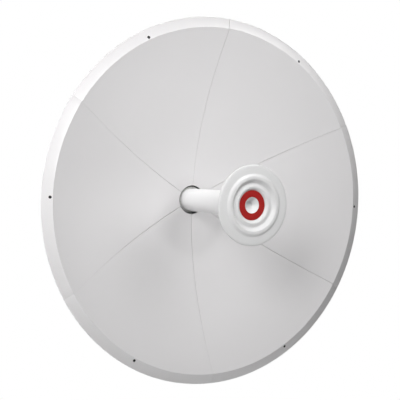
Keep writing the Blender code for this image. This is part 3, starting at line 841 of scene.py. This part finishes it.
# bolts that draw neighbouring petals' ribs together
seamBolt = {"places": (118.0, 200.0, 278.0), "depth": 9.5, "radius": 2.5, "corner": 4.6, "headHeight": 3.5,
            "nutHeight": 4.0, "ribGap": 0.05, "washerRadius": 5.0, "washerThickness": 1.0, "play": 0.1,
            "headGrip": 0.5, "tail": 2.5, "pitch": 0.8, "tip": 0.5, "turns": 18}


def buildSeamBolts():
    look = seamBolt
    reach = halfGap(look["places"][0]) + petalRib["inset"] + petalRib["thickness"] + look["ribGap"]
    seat = reach + look["washerThickness"]
    bore = look["radius"] + look["play"]
    head = moved(hexPrism(look["corner"], -look["headHeight"], 0, True, False), at(y=-seat))
    nut = hexPrism(look["corner"], 0, look["nutHeight"], True, True, look["radius"] + look["play"] / 2)
    shank = threadedBar(look["radius"], -seat - look["headGrip"], seat + look["headHeight"] + look["tail"],
                        reach, look["pitch"], look["tip"], look["turns"])
    bolt = asMesh(gathered([head, moved(nut, at(y=seat)), shank,
                            washer(bore, look["washerRadius"], reach, seat),
                            washer(bore, look["washerRadius"], -seat, -reach)]))
    back = petal["sheet"] + look["depth"]
    places = [at(0, bowlY(radius) + back, radius) @ alongAxis("X") for radius in look["places"]]
    for seam in range(petal["count"]):
        # the bolts lie square to the seam, which stands straight up before it is turned
        row = moved(repeated(copyOf(bolt), places), aboutDish(petalAngle * seam))
        addPiece(f"seam_bolts_{seam + 1}", row, steel)
    bpy.data.meshes.remove(bolt)


print("building the reflector")
buildPetals()
buildRimNuts()
buildSeamBolts()


# feed tube, and the cone behind the cap
tube = {"radius": 21.6, "wall": 2.5, "frontY": -328.0, "rearY": -99.7, "edge": 0.5, "turns": 128}
cone = {"rearY": -300.0, "collarRadius": 26.0, "collarLength": 14.0, "wideRadius": 44.0, "wideEdge": 2.0,
        "capGap": 0.3, "socketGap": 0.5, "edge": 0.4, "wideRounding": 0.8, "waistFillet": 4.0,
        "collarRounding": 1.0}


def buildTube():
    front, rear, edge = tube["frontY"], tube["rearY"], tube["edge"]
    outer, inner = tube["radius"], tube["radius"] - tube["wall"]
    outline = [(inner, front, edge), (outer, front, edge), (outer, rear, edge), (inner, rear, edge)]
    addPiece("feed_tube_skin", turned(rounded(outline), tube["turns"], closed=True), plastic,
             ["feed_tube"])


def buildCone():
    wide, collar, rear = cone["wideRadius"], cone["collarRadius"], cone["rearY"]
    front = cap["faceY"] + cap["thickness"] + cone["capGap"]
    socket = tube["radius"] + cone["socketGap"]
    floorY = tube["frontY"] - cone["capGap"]
    profile = rounded([(0, front, 0), (wide, front, cone["edge"]),
                       (wide, front + cone["wideEdge"], cone["wideRounding"]),
                       (collar, rear - cone["collarLength"], cone["waistFillet"]),
                       (collar, rear, cone["collarRounding"]), (socket, rear, cone["edge"]),
                       (socket, floorY, 0), (0, floorY, 0)], closed=False, steps=6)
    addPiece("cap_cone_skin", turned(profile, tube["turns"]), plastic, ["cap_cone"])


# the cap: rolled edge, raised ring, valley, boss, sunk red ring and a round dimple
cap = {
    "faceY": -346.4,             # the flat band; heights below are towards -Y from here
    "thickness": 15.4,
    "radius": 67.3,
    "backRadius": 46.0,
    "crownWidth": 5.5,
    "crownDrop": 1.5,
    "crownSteps": 8,
    "edgeHeight": 2.4,
    "edgeChamfer": 1.1,
    "edgeRounding": 0.9,
    "backRounding": 2.0,
    # crests and valleys, each joined to the next by half a wave; the first is hidden by the ring
    "waves": ((18.7, -10.2), (30.5, -1.4), (36.8, -3.1), (44.0, 2.6), (46.6, 2.6), (53.2, 0.0)),
    "waveSteps": 64,
    "ringInner": 13.8,
    "ringOuter": 24.9,
    "ringThickness": 2.0,
    "ringSink": 5.2,
    "ringPlay": 0.3,
    "ringRounding": 0.25,
    "ringTurns": 160,
    "dimpleDepth": 12.5,
    "dimplePower": 2.2,          # 2 is a round dimple, more has a flatter floor
    "dimpleSteps": 14,
    "dimpleLip": 0.4,            # width of the steep lip round the dimple
    # points that round the walls on either side of the ring: how far out, how far below the top
    "innerLip": ((-0.1, 0.02), (0.0, 0.15)),
    "outerLip": ((0.0, 0.3), (0.1, 0.08)),
    "outerLipWidth": 0.35,
    "turns": 192,
}


def capHeight(radius):
    for (start, low), (end, high) in zip(cap["waves"], cap["waves"][1:]):
        if radius <= end:
            share = (radius - start) / (end - start)
            return low + (high - low) * (1 - math.cos(math.pi * share)) / 2
    return 0.0


def buildCap():
    look = cap
    dimple = look["ringInner"] - look["ringPlay"]
    outside = look["ringOuter"] + look["ringPlay"]
    top = -look["ringSink"]
    seat = top - look["ringThickness"] - look["ringPlay"]
    points = []
    for step in range(look["dimpleSteps"] + 1):
        radius = (dimple - look["dimpleLip"]) * step / look["dimpleSteps"]
        points.append((radius, top + look["dimpleDepth"] * ((radius / dimple) ** look["dimplePower"] - 1)))
    points += [(dimple + out, top - drop) for out, drop in look["innerLip"]]
    points += [(dimple, seat), (outside, seat)]
    points += [(outside + out, capHeight(outside) - drop) for out, drop in look["outerLip"]]
    first, last = outside + look["outerLipWidth"], look["waves"][-1][0]
    for step in range(look["waveSteps"] + 1):
        radius = first + (last - first) * step / look["waveSteps"]
        points.append((radius, capHeight(radius)))
    outer, width, drop = look["radius"], look["crownWidth"], look["crownDrop"]
    points.append(((last + outer - width) / 2, 0.0))
    for step in range(look["crownSteps"] + 1):
        turn = math.pi / 2 * step / look["crownSteps"]
        points.append((outer - width + width * math.sin(turn), -drop * (1 - math.cos(turn))))
    wallEnd = -drop - look["edgeHeight"]
    edge, chamfer, back = look["edgeRounding"], look["edgeChamfer"], -look["thickness"]
    points += rounded([(outer, wallEnd + 1, 0), (outer, wallEnd, edge),
                       (outer - chamfer, wallEnd - chamfer, edge),
                       (look["backRadius"], back, look["backRounding"]), (0, back, 0)],
                      closed=False, steps=5)
    profile = [(radius, look["faceY"] - height) for radius, height in points]
    addPiece("cap_face", turned(profile, look["turns"]), plastic, ["cap_disc"])


def buildRing():
    front = cap["faceY"] + cap["ringSink"]
    rear = front + cap["ringThickness"]
    edge = cap["ringRounding"]
    profile = rounded([(cap["ringInner"], front, edge), (cap["ringOuter"], front, edge),
                       (cap["ringOuter"], rear, 0), (cap["ringInner"], rear, 0)], steps=3)
    addPiece("cap_ring_red", turned(profile, cap["ringTurns"], closed=True), red, ["cap_ring"])


print("building the feed")
buildTube()
buildCone()
buildCap()
buildRing()


# hub casting behind the petals, with its screws and the seal round the tube
hub = {"radius": 84.0, "bossRadius": 64.0, "flangeThickness": 10.0, "bossStep": 4.0, "recessRadius": 30.0,
       "recessY": -112.0, "rearY": -104.0, "boreGap": 0.5, "fitGap": 0.3, "rounding": 2.0,
       "bossFillet": 5.0, "rearRounding": 1.5, "boreRounding": 0.5, "recessFillet": 1.0, "steps": 12,
       "turns": 144}
hubScrew = {"place": 74.5, "offset": 12.0, "radius": 4.4, "height": 3.2, "recess": 1.6}
seal = {"inner": 22.2, "outer": 24.7, "frontY": -131.2, "footWidth": 3.2, "footY": -115.0, "gap": 0.1,
        "rounding": 0.8, "footRounding": 0.5, "turns": 96}


def buildHub():
    clearance = petal["sheet"] + hub["fitGap"]
    outline = []
    for step in range(hub["steps"] + 1):
        radius = hub["recessRadius"] + (hub["radius"] - hub["recessRadius"]) * step / hub["steps"]
        outline.append((radius, bowlY(radius) + clearance * math.hypot(1, bowlSlope(radius)), 0))
    flangeRear = outline[-1][1] + hub["flangeThickness"]
    bore = tube["radius"] + hub["boreGap"]
    outline += [(hub["radius"], flangeRear, hub["rounding"]),
                (hub["bossRadius"], flangeRear + hub["bossStep"], hub["bossFillet"]),
                (hub["bossRadius"], hub["rearY"], hub["rearRounding"]),
                (bore, hub["rearY"], hub["boreRounding"]), (bore, hub["recessY"], hub["boreRounding"]),
                (hub["recessRadius"], hub["recessY"], hub["recessFillet"])]
    addPiece("hub_casting_body", turned(rounded(outline, steps=5), hub["turns"], closed=True), cast,
             ["hub_casting"])

    slope = hub["bossStep"] / (hub["radius"] - hub["bossRadius"])
    seatY = flangeRear + slope * (hub["radius"] - hubScrew["place"])
    screw = moved(panScrew(hubScrew["radius"], hubScrew["height"], hubScrew["recess"]), alongAxis("-Y"))
    moved(screw, at(hubScrew["place"], seatY) @ Matrix.Rotation(math.atan(slope), 4, "Z"))
    places = [aboutDish(petalAngle * step + side * hubScrew["offset"])
              for step in range(petal["count"]) for side in (-1, 1)]
    addPiece("hub_screws", repeated(screw, places), steel)

    edge, foot, rear = seal["rounding"], seal["outer"] + seal["footWidth"], hub["recessY"] - seal["gap"]
    outline = [(seal["inner"], seal["frontY"], edge), (seal["outer"], seal["frontY"], edge),
               (seal["outer"], seal["footY"], edge), (foot, seal["footY"], seal["footRounding"]),
               (foot, rear, 0), (seal["inner"], rear, 0)]
    addPiece("tube_seal", turned(rounded(outline), seal["turns"], closed=True), greyRubber)


# brackets of folded sheet: a U on the hub, and the mast plate with two welded ears
sheet = {"thickness": 4.0, "edge": 0.4, "holeTurns": 40}
tilt = {"frontY": -103.7, "halfWidth": 56.0, "halfHeight": 55.0, "tipY": -10.0, "foldOuter": 5.5,
        "foldInner": 2.0, "earRounding": 20.0, "boreTurns": 96}
webBolt = {"place": 42.0, "corner": 6.5, "height": 4.0, "bore": 3.2, "washerRadius": 7.2,
           "washerThickness": 1.2}
mast = {"halfWidth": 66.0, "halfHeight": 77.0, "cornerRounding": 8.0, "earX": 56.4, "earHalfHeight": 48.0,
        "earTipY": -70.0, "earRounding": 20.0}
cradle = {"z": 38.0, "thickness": 5.0, "halfWidth": 60.0, "grooveDepth": 0.8, "grooveGap": 0.3}
pivot = {"y": -40.0, "z": -25.0, "slotReach": 45.0, "slotSweep": 22.0}
earBolt = {"radius": 5.0, "hole": 5.5, "corner": 9.2, "height": 6.4, "washerRadius": 9.1,
           "washerThickness": 1.2, "washerPlay": 0.2, "nutGrip": 0.1, "headGrip": 1.5, "tail": 3.0,
           "gap": 0.3, "pitch": 1.5, "threadLead": 1.0}
rod = {"x": 52.0, "z": 60.0, "rearY": 118.0, "washerRadius": 10.0, "washerThickness": 2.0, "threadY": 40.0}
weld = {
    "inner": 2.4,                # the bead between the ears
    "outer": 1.4,                # and the one outside them
    "shorter": 8.0,              # than the ear that it runs along
    "root": 0.5,                 # how far it dips into the corner
    "endShare": 0.15,            # how much of its size is left at its ends
    "ripple": 0.22,
    "ripplePitch": 3.1,
    "stepsPerRipple": 8,
    "turns": 6,
}


def slotOutline(radius):
    # a slot curved round the pivot, in (y, z)
    swing = math.radians(pivot["slotSweep"])
    reach = pivot["slotReach"]
    half, endSteps = 8, 10

    def polar(centre, angle, length):
        return (centre[0] + length * math.sin(angle), centre[1] + length * math.cos(angle))
    centre = (pivot["y"], pivot["z"])
    outline = []
    for side, length in ((1, reach + radius), (-1, reach - radius)):
        for step in range(2 * half + 1):
            outline.append(polar(centre, side * swing * (step / half - 1), length))
        end = polar(centre, side * swing, reach)
        start = swing if side > 0 else math.pi - swing
        for step in range(1, endSteps):
            outline.append(polar(end, start + math.pi * step / endSteps, radius))
    return outline


def buildTiltBracket():
    thick = sheet["thickness"]
    wide, tall, front, tip = tilt["halfWidth"], tilt["halfHeight"], tilt["frontY"], tilt["tipY"]
    webRear = front + thick
    outer, inner = tilt["foldOuter"], tilt["foldInner"]
    inside = wide - thick
    outline = rounded([(-wide, front, outer), (wide, front, outer), (wide, tip, 0), (inside, tip, 0),
                       (inside, webRear, inner), (-inside, webRear, inner), (-inside, tip, 0),
                       (-wide, tip, 0)], steps=6)
    ear = rounded([(front - past, -tall, 0), (tip, -tall, tilt["earRounding"]),
                   (tip, tall, tilt["earRounding"]), (front - past, tall, 0)], steps=10)
    through = wide + past
    shape = extruded(outline, -tall, tall, "Z")
    shape = carved(shape, [extruded(ear, -through, through, "X")], "INTERSECT")
    hole = earBolt["hole"]
    tools = [extruded(slotOutline(hole), -through, through, "X"),
             drill(hole, -through, through, "X", (0, pivot["y"], pivot["z"]), sheet["holeTurns"]),
             drill(tube["radius"] + hub["boreGap"], front - past, webRear + past, turns=tilt["boreTurns"])]
    addPiece("tilt_bracket_sheet", carved(shape, tools), zinc, ["tilt_bracket"],
             sheet["edge"])

    thin = webBolt["washerThickness"]
    bolt = gathered([hexPrism(webBolt["corner"], -webBolt["height"], 0, True, False),
                     washer(webBolt["bore"], webBolt["washerRadius"], 0.0, thin)])
    places = [at(x, webRear + thin, z) @ alongAxis("-Y")
              for x, z in fourCorners(webBolt["place"], webBolt["place"])]
    addPiece("web_bolts", repeated(bolt, places), steel)


def weldBead(size, length, corner):
    # a rippled fillet along Z in the corner between two sheets; corner is (1 or -1, 1 or -1) in x and y
    sections = []
    count = round(length / weld["ripplePitch"]) * weld["stepsPerRipple"]
    for step in range(count + 1):
        z = -length / 2 + length * step / count
        wave = abs(math.sin(math.pi * (z + length / 2) / weld["ripplePitch"]))
        fade = min(1.0, (length / 2 - abs(z)) / size + weld["endShare"])
        reach = (size + weld["ripple"] * wave) * fade
        section = [(-corner[0] * weld["root"], -corner[1] * weld["root"], z)]
        section += [(corner[0] * a, corner[1] * b, z) for a, b in arc(0, 0, reach, 0, 90, weld["turns"])]
        sections.append(section)
    return lofted(sections)


def buildMastBracket():
    thick = sheet["thickness"]
    plate = boxOutline(mast["halfWidth"], mast["halfHeight"], mast["cornerRounding"])
    earTall, tip, bend = mast["earHalfHeight"], mast["earTipY"], mast["earRounding"]
    outline = rounded([(tip, -earTall, bend), (-thick / 2, -earTall, 0), (-thick / 2, earTall, 0),
                       (tip, earTall, bend)], steps=10)
    near, far = mast["earX"], mast["earX"] + thick
    ears = [extruded(outline, low, high, "X") for low, high in ((near, far), (-far, -near))]
    shape = carved(extruded(plate, -thick, 0, "Y"), ears, "UNION")
    through = far + past
    tools = [drill(earBolt["hole"], -through, through, "X", (0, pivot["y"], z), sheet["holeTurns"])
             for z in (pivot["z"], pivot["z"] + pivot["slotReach"])]
    tools += [drill(earBolt["hole"], -thick - past, past, "Y", (x, 0, z), sheet["holeTurns"])
              for x, z in fourCorners(rod["x"], rod["z"])]
    low = cradle["z"] - cradle["grooveGap"]
    high = cradle["z"] + cradle["thickness"] + cradle["grooveGap"]
    groove = [(-through, -cradle["grooveDepth"]), (through, -cradle["grooveDepth"]), (through, past),
              (-through, past)]
    tools += [extruded(groove, start, end, "Z") for start, end in ((low, high), (-high, -low))]
    addPiece("mast_bracket_plate", carved(shape, tools), zinc, ["mast_bracket"],
             sheet["edge"])

    beads = []
    length = 2 * earTall - weld["shorter"]
    for side in (1, -1):
        beads.append(moved(weldBead(weld["inner"], length, (-side, -1)), at(side * near, -thick)))
        beads.append(moved(weldBead(weld["outer"], length, (side, -1)), at(side * far, -thick)))
    addPiece("ear_welds", gathered(beads), zinc)


def buildEarBolts():
    look = earBolt
    headSeat = mast["earX"] + sheet["thickness"] + look["gap"]
    nutSeat = tilt["halfWidth"] - sheet["thickness"] - look["gap"]
    thin = look["washerThickness"]
    head = hexPrism(look["corner"], thin, look["height"], False, True)
    nut = hexPrism(look["corner"], -look["height"], -thin, True, True, look["radius"] - look["nutGrip"])
    end = -nutSeat + look["height"] + look["tail"]
    bar = threadedBar(look["radius"], -headSeat - look["headGrip"], end, -nutSeat - look["threadLead"],
                      look["pitch"])
    bore = look["radius"] + look["washerPlay"]
    mesh = asMesh(gathered([moved(head, at(y=headSeat)), moved(nut, at(y=nutSeat)),
                            moved(bar, Matrix.Rotation(math.pi, 4, "X")),
                            washer(bore, look["washerRadius"], headSeat, headSeat + thin),
                            washer(bore, look["washerRadius"], nutSeat - thin, nutSeat)]))
    for name, z in (("pivot_bolt", pivot["z"]), ("lock_bolt", pivot["z"] + pivot["slotReach"])):
        for side, axis in (("right", "X"), ("left", "-X")):
            shape = moved(copyOf(mesh), at(0, pivot["y"], z) @ alongAxis(axis))
            addPiece(f"{name}_{side}_steel", shape, steel, [f"{name}_{side}"])
    bpy.data.meshes.remove(mesh)


print("building the brackets")
buildHub()
buildTiltBracket()
buildMastBracket()
buildEarBolts()


# feed housing between the bracket's ears, with its cover and jacks
housing = {"half": 33.0, "frontY": -99.4, "length": 50.0, "rounding": 5.0, "groovePlace": 9.0,
           "grooveHalf": 0.8, "grooveDepth": 0.6, "edge": 0.35}
cover = {"thickness": 4.0, "inset": 1.0, "gap": 0.3, "screwPlace": 26.5, "screwRadius": 3.4,
         "screwHeight": 1.4, "screwRecess": 1.3, "screwSink": 1.6, "screwRoom": 0.5, "panelHalf": 19.0,
         "panelSink": 0.6, "panelRounding": 3.0, "edge": 0.5}
jack = {"x": 15.0, "flangeRadius": 9.5, "flangeThickness": 3.0, "flangeEdge": 0.5, "barrelRadius": 7.6,
        "barrelStart": 1.0, "threadStart": 5.0, "length": 17.0, "pitch": 1.06, "tip": 0.6,
        "boreRadius": 5.4, "boreStart": 8.0, "insertRadius": 3.6, "insertStart": 7.0, "insertEnd": 13.0,
        "insertEdge": 0.4, "insertTurns": 48, "pinRadius": 0.8, "pinEnd": 15.0, "pinTurns": 24,
        "edge": 0.3, "turns": 64}


def buildHousing():
    half, corner = housing["half"], housing["rounding"]
    rearY = housing["frontY"] + housing["length"]
    beyond = 3 * justPast        # the band that cuts a groove stands out past the housing
    inside, outside = half - housing["grooveDepth"], half + beyond
    shape = extruded(boxOutline(half, half, corner), housing["frontY"], rearY, "Y")
    band = boxOutline(outside, outside, corner + 2 * justPast)
    core = boxOutline(inside, inside, corner)
    grooves = []
    for y in (housing["frontY"] + housing["groovePlace"], rearY - housing["groovePlace"]):
        groove = extruded(band, y - housing["grooveHalf"], y + housing["grooveHalf"], "Y")
        grooves.append(carved(groove, [extruded(core, y - beyond, y + beyond, "Y")]))
    addPiece("feed_housing_body", carved(shape, grooves), grey, ["feed_housing"],
             housing["edge"])

    front = rearY + cover["gap"]
    rear = front + cover["thickness"]
    half -= cover["inset"]
    lid = extruded(boxOutline(half, half, corner), front, rear, "Y")
    panel = boxOutline(cover["panelHalf"], cover["panelHalf"], cover["panelRounding"])
    behind = rear + 2 * justPast
    tools = [extruded(panel, rear - cover["panelSink"], behind, "Y")]
    corners = fourCorners(cover["screwPlace"], cover["screwPlace"])
    seat = rear - cover["screwSink"]
    room = cover["screwRadius"] + cover["screwRoom"]
    tools += [drill(room, seat, behind, "Y", (x, 0, z)) for x, z in corners]
    addPiece("housing_cover_lid", carved(lid, tools), grey, ["housing_cover"],
             cover["edge"])
    screw = panScrew(cover["screwRadius"], cover["screwHeight"], cover["screwRecess"])
    places = [at(x, seat, z) @ alongAxis("-Y") for x, z in corners]
    addPiece("cover_screws", repeated(screw, places), steel)


def roundBar(radius, low, high, lowEdge, highEdge, turns):
    outline = [(0, low, 0), (radius, low, lowEdge), (radius, high, highEdge), (0, high, 0)]
    return turned(rounded(outline, closed=False), turns)


def buildJacks():
    # made along +Y, then turned to hang down from the housing
    look = jack
    flange = roundBar(look["flangeRadius"], 0, look["flangeThickness"], look["edge"], look["flangeEdge"],
                      look["turns"])
    barrel = threadedBar(look["barrelRadius"], look["barrelStart"], look["length"], look["threadStart"],
                         look["pitch"], look["tip"], look["turns"])
    bore = drill(look["boreRadius"], look["boreStart"], look["length"] + 2 * justPast, turns=look["turns"])
    pin = roundBar(look["pinRadius"], look["boreStart"], look["pinEnd"], 0, look["edge"], look["pinTurns"])
    metal = asMesh(gathered([flange, carved(barrel, [bore]), pin]))
    core = asMesh(roundBar(look["insertRadius"], look["insertStart"], look["insertEnd"], 0,
                           look["insertEdge"], look["insertTurns"]))
    top = -housing["half"] - cover["gap"]
    middle = housing["frontY"] + housing["length"] / 2
    for side, x in (("right", look["x"]), ("left", -look["x"])):
        place = at(x, middle, top) @ alongAxis("-Z")
        addPiece(f"rf_jack_{side}_metal", moved(copyOf(metal), place), nickel,
                 [f"rf_jack_{side}"])
        addPiece(f"rf_jack_{side}_insert", moved(copyOf(core), place), plastic)
    for mesh in (metal, core):
        bpy.data.meshes.remove(mesh)


# mast clamp: toothed cradles on the plate, toothed jaws drawn up by four rods
clamp = {"mastRadius": 30.0, "notchAngle": 60.0, "notchHalfWidth": 50.0, "notchFloorY": 12.0, "teeth": 9,
         "toothDepth": 2.2, "jawHalfWidth": 64.0, "jawHalfHeight": 13.0, "webGap": 10.0, "gap": 0.3,
         "edge": 0.35}


def toothedNotch(floorY, toward):
    rise = 1 / math.tan(math.radians(clamp["notchAngle"]))
    teeth = 2 * clamp["teeth"]
    points = []
    for step in range(-teeth, teeth + 1):
        x = -clamp["notchHalfWidth"] * step / teeth
        depth = clamp["toothDepth"] if step % 2 else 0.0
        points.append((x, floorY + toward * abs(x) * rise - toward * depth))
    return points


def buildClamp():
    thick = sheet["thickness"]
    sine = math.sin(math.radians(clamp["notchAngle"]))
    centre = clamp["notchFloorY"] + clamp["mastRadius"] / sine
    reach = clamp["notchHalfWidth"] / math.tan(math.radians(clamp["notchAngle"]))
    tip = clamp["notchFloorY"] + reach
    wide = cradle["halfWidth"]
    foot = clamp["gap"] - cradle["grooveDepth"]
    outline = [(-wide, foot), (wide, foot), (wide, tip)]
    outline += toothedNotch(clamp["notchFloorY"], 1) + [(-wide, tip)]
    for name, z in (("upper", cradle["z"]), ("lower", -cradle["z"] - cradle["thickness"])):
        shape = extruded(outline, z, z + cradle["thickness"], "Z")
        addPiece(f"cradle_{name}_sheet", shape, zinc, [f"cradle_{name}"], clamp["edge"])

    floorY = centre + clamp["mastRadius"] / sine
    webFront = floorY + clamp["webGap"]
    webRear = webFront + thick
    foldEnd = webFront + thick / 2
    wide, tall = clamp["jawHalfWidth"], clamp["jawHalfHeight"]
    jawTip = floorY - reach
    outline = [(wide, foldEnd), (-wide, foldEnd), (-wide, jawTip)] + toothedNotch(floorY, -1)[::-1]
    outline += [(wide, jawTip)]
    web = [(-wide, webFront), (wide, webFront), (wide, webRear), (-wide, webRear)]
    folds = [extruded(outline, tall - thick, tall, "Z"), extruded(outline, -tall, thick - tall, "Z")]
    holes = [drill(earBolt["hole"], webFront - past, webRear + past, "Y", (x, 0, 0), sheet["holeTurns"])
             for x in (-rod["x"], rod["x"])]
    jaw = asMesh(carved(carved(extruded(web, -tall, tall, "Z"), folds, "UNION"), holes))
    for name, z in (("upper", rod["z"]), ("lower", -rod["z"])):
        addPiece(f"jaw_{name}_sheet", moved(copyOf(jaw), at(z=z)), zinc, [f"jaw_{name}"],
                 clamp["edge"])
    bpy.data.meshes.remove(jaw)

    headRear = -thick - clamp["gap"]
    nutFront = webRear + clamp["gap"]
    nutSeat = nutFront + rod["washerThickness"]
    radius, corner, height = earBolt["radius"], earBolt["corner"], earBolt["height"]
    nut = hexPrism(corner, 0, height, True, True, radius - earBolt["nutGrip"])
    mesh = asMesh(gathered([
        moved(hexPrism(corner, -height, 0, True, False), at(y=headRear)),
        threadedBar(radius, headRear - earBolt["headGrip"], rod["rearY"], rod["threadY"], earBolt["pitch"]),
        washer(radius + earBolt["washerPlay"], rod["washerRadius"], nutFront, nutSeat),
        moved(nut, at(y=nutSeat))]))
    corners = [(x, z) for z in (rod["z"], -rod["z"]) for x in (rod["x"], -rod["x"])]
    for number, (x, z) in enumerate(corners, 1):
        addPiece(f"clamp_rod_{number}_steel", moved(copyOf(mesh), at(x, 0, z)), steel,
                 [f"clamp_rod_{number}"])
    bpy.data.meshes.remove(mesh)


print("building the housing and the clamp")
buildHousing()
buildJacks()
buildClamp()


# studio: soft lamps round the front, weaker ones behind, a pale floor well below
studio = {
    "surround": 0.03,            # light from all round, as a share of the white backdrop
    "distance": 2200.0,
    "aim": (0.0, -240.0, 0.0),
    "floorZ": -950.0,
    "floorRadius": 1480.0,
    "floorThickness": 20.0,
    "floorRounding": 6.0,
    "floorTurns": 128,
}
floorPaint = {
    "name": "paleFloor",
    "colour": (0.80, 0.80, 0.80),
    "roughness": 0.8,
    "tone": {"perMetre": 14.0, "detail": 5.0, "darker": 0.985, "lighter": 1.0},
}
# name, degrees round from the front, degrees up, width, watts, what it lights: the bowl, its rim, the
# feed and the floor each have lamps of their own, and only the two rear lamps light everything
lamps = [
    ("bowlLeft", -52, 25, 800, 11.3, "bowl"),
    ("bowlFront", -20, 25, 1200, 4.3, "bowl"),
    ("bowlFrontRight", 25, 30, 1600, 13.8, "bowl"),
    ("bowlLow", 0, -40, 2600, 14.8, "bowl"),
    ("bowlLowRight", 50, -30, 2600, 19.5, "bowl"),
    ("rimFront", -20, 0, 1200, 2.7, "rim"),
    ("rimGrazing", -90, 20, 500, 29.8, "rim"),
    ("rimLow", -60, -40, 600, 33.2, "rim"),
    ("feedTop", 10, 45, 900, 16.4, "feed"),
    ("feedTopRight", 40, 50, 1200, 8.6, "feed"),
    ("feedLeft", -62, 20, 800, 17.2, "feed"),
    ("rearRight", 145, 35, 1400, 34.0, "all"),
    ("rearLeft", -130, 20, 1400, 17.0, "all"),
    ("overFloor", 20, 75, 2000, 70.0, "floor"),
]
# soft-edged pools of light round the hub: name, degrees round, degrees up, watts, what it lights
pools = [
    ("poolBowl", 0, 10, 33.7, "bowl"),
    ("poolRim", 0, 10, 436.7, "rim"),
    ("poolRimRight", 40, 30, 114.6, "rim"),
    ("poolFeedLeft", -40, 30, 121.8, "feed"),
    ("poolFeed", 0, 10, 9.9, "feed"),
]
pool = {"aim": (-40.0, -140.0, 40.0), "reach": 300.0, "softness": 220.0, "blend": 1.0}


def litPieces():
    # one collection for each share of the lamps
    groups = {share: bpy.data.collections.new(share) for share in ("bowl", "rim", "feed", "floor")}
    ends = {"bowl": "bowl", "flange": "rim", "nuts": "rim", "paleFloor": "floor"}
    for piece in bpy.context.scene.objects:
        if piece.type == "MESH":
            groups[ends.get(piece.name.split("_")[-1], "feed")].objects.link(piece)
    return groups


def hangLamp(data, turn, up, aim, watts, group):
    swing, lift = math.radians(turn), math.radians(up)
    away = Vector((math.sin(swing) * math.cos(lift), -math.cos(swing) * math.cos(lift), math.sin(lift)))
    data.energy = watts
    lamp = bpy.data.objects.new(data.name, data)
    bpy.context.scene.collection.objects.link(lamp)
    lamp.location = (Vector(aim) + away * studio["distance"]) * mm
    lamp.rotation_mode = "QUATERNION"
    lamp.rotation_quaternion = (-away).to_track_quat("-Z", "Y")
    lamp.visible_camera = False
    if group is not None:
        lamp.light_linking.receiver_collection = group


def hangBackdrop():
    # white for the camera, dim for the light it gives
    scene = bpy.context.scene
    scene.world = bpy.data.worlds.new("surround")
    scene.world.use_nodes = True
    tree = scene.world.node_tree
    dim = tree.nodes["Background"]
    backdrop = tree.nodes.new("ShaderNodeBackground")
    for background in (dim, backdrop):
        background.inputs["Color"].default_value = (1, 1, 1, 1)
    dim.inputs["Strength"].default_value = studio["surround"]
    path = tree.nodes.new("ShaderNodeLightPath")
    mix = tree.nodes.new("ShaderNodeMixShader")
    tree.links.new(path.outputs["Is Camera Ray"], mix.inputs[0])
    tree.links.new(dim.outputs[0], mix.inputs[1])
    tree.links.new(backdrop.outputs[0], mix.inputs[2])
    tree.links.new(mix.outputs[0], tree.nodes["World Output"].inputs["Surface"])


def layFloor():
    disc = roundBar(studio["floorRadius"], 0, studio["floorThickness"], studio["floorRounding"],
                    studio["floorRounding"], studio["floorTurns"])
    moved(disc, at(z=studio["floorZ"]) @ alongAxis("-Z"))
    mesh = asMesh(moved(disc, Matrix.Scale(mm, 4)), "paleFloor")
    mesh.materials.append(makeFinish(floorPaint))
    floor = bpy.data.objects.new("paleFloor", mesh)
    bpy.context.scene.collection.objects.link(floor)


def hangLamps():
    groups = litPieces()
    for name, turn, up, width, watts, share in lamps:
        data = bpy.data.lights.new(name, "AREA")
        data.shape = "DISK"
        data.size = width * mm
        hangLamp(data, turn, up, studio["aim"], watts, groups.get(share))
    for name, turn, up, watts, share in pools:
        data = bpy.data.lights.new(name, "SPOT")
        data.shadow_soft_size = pool["softness"] * mm
        data.spot_blend = pool["blend"]
        data.spot_size = 2 * math.atan(pool["reach"] / studio["distance"])
        hangLamp(data, turn, up, pool["aim"], watts, groups.get(share))


print("setting the studio")
placeCamera()
bpy.context.scene.view_settings.view_transform = "Standard"
hangBackdrop()
layFloor()
hangLamps()
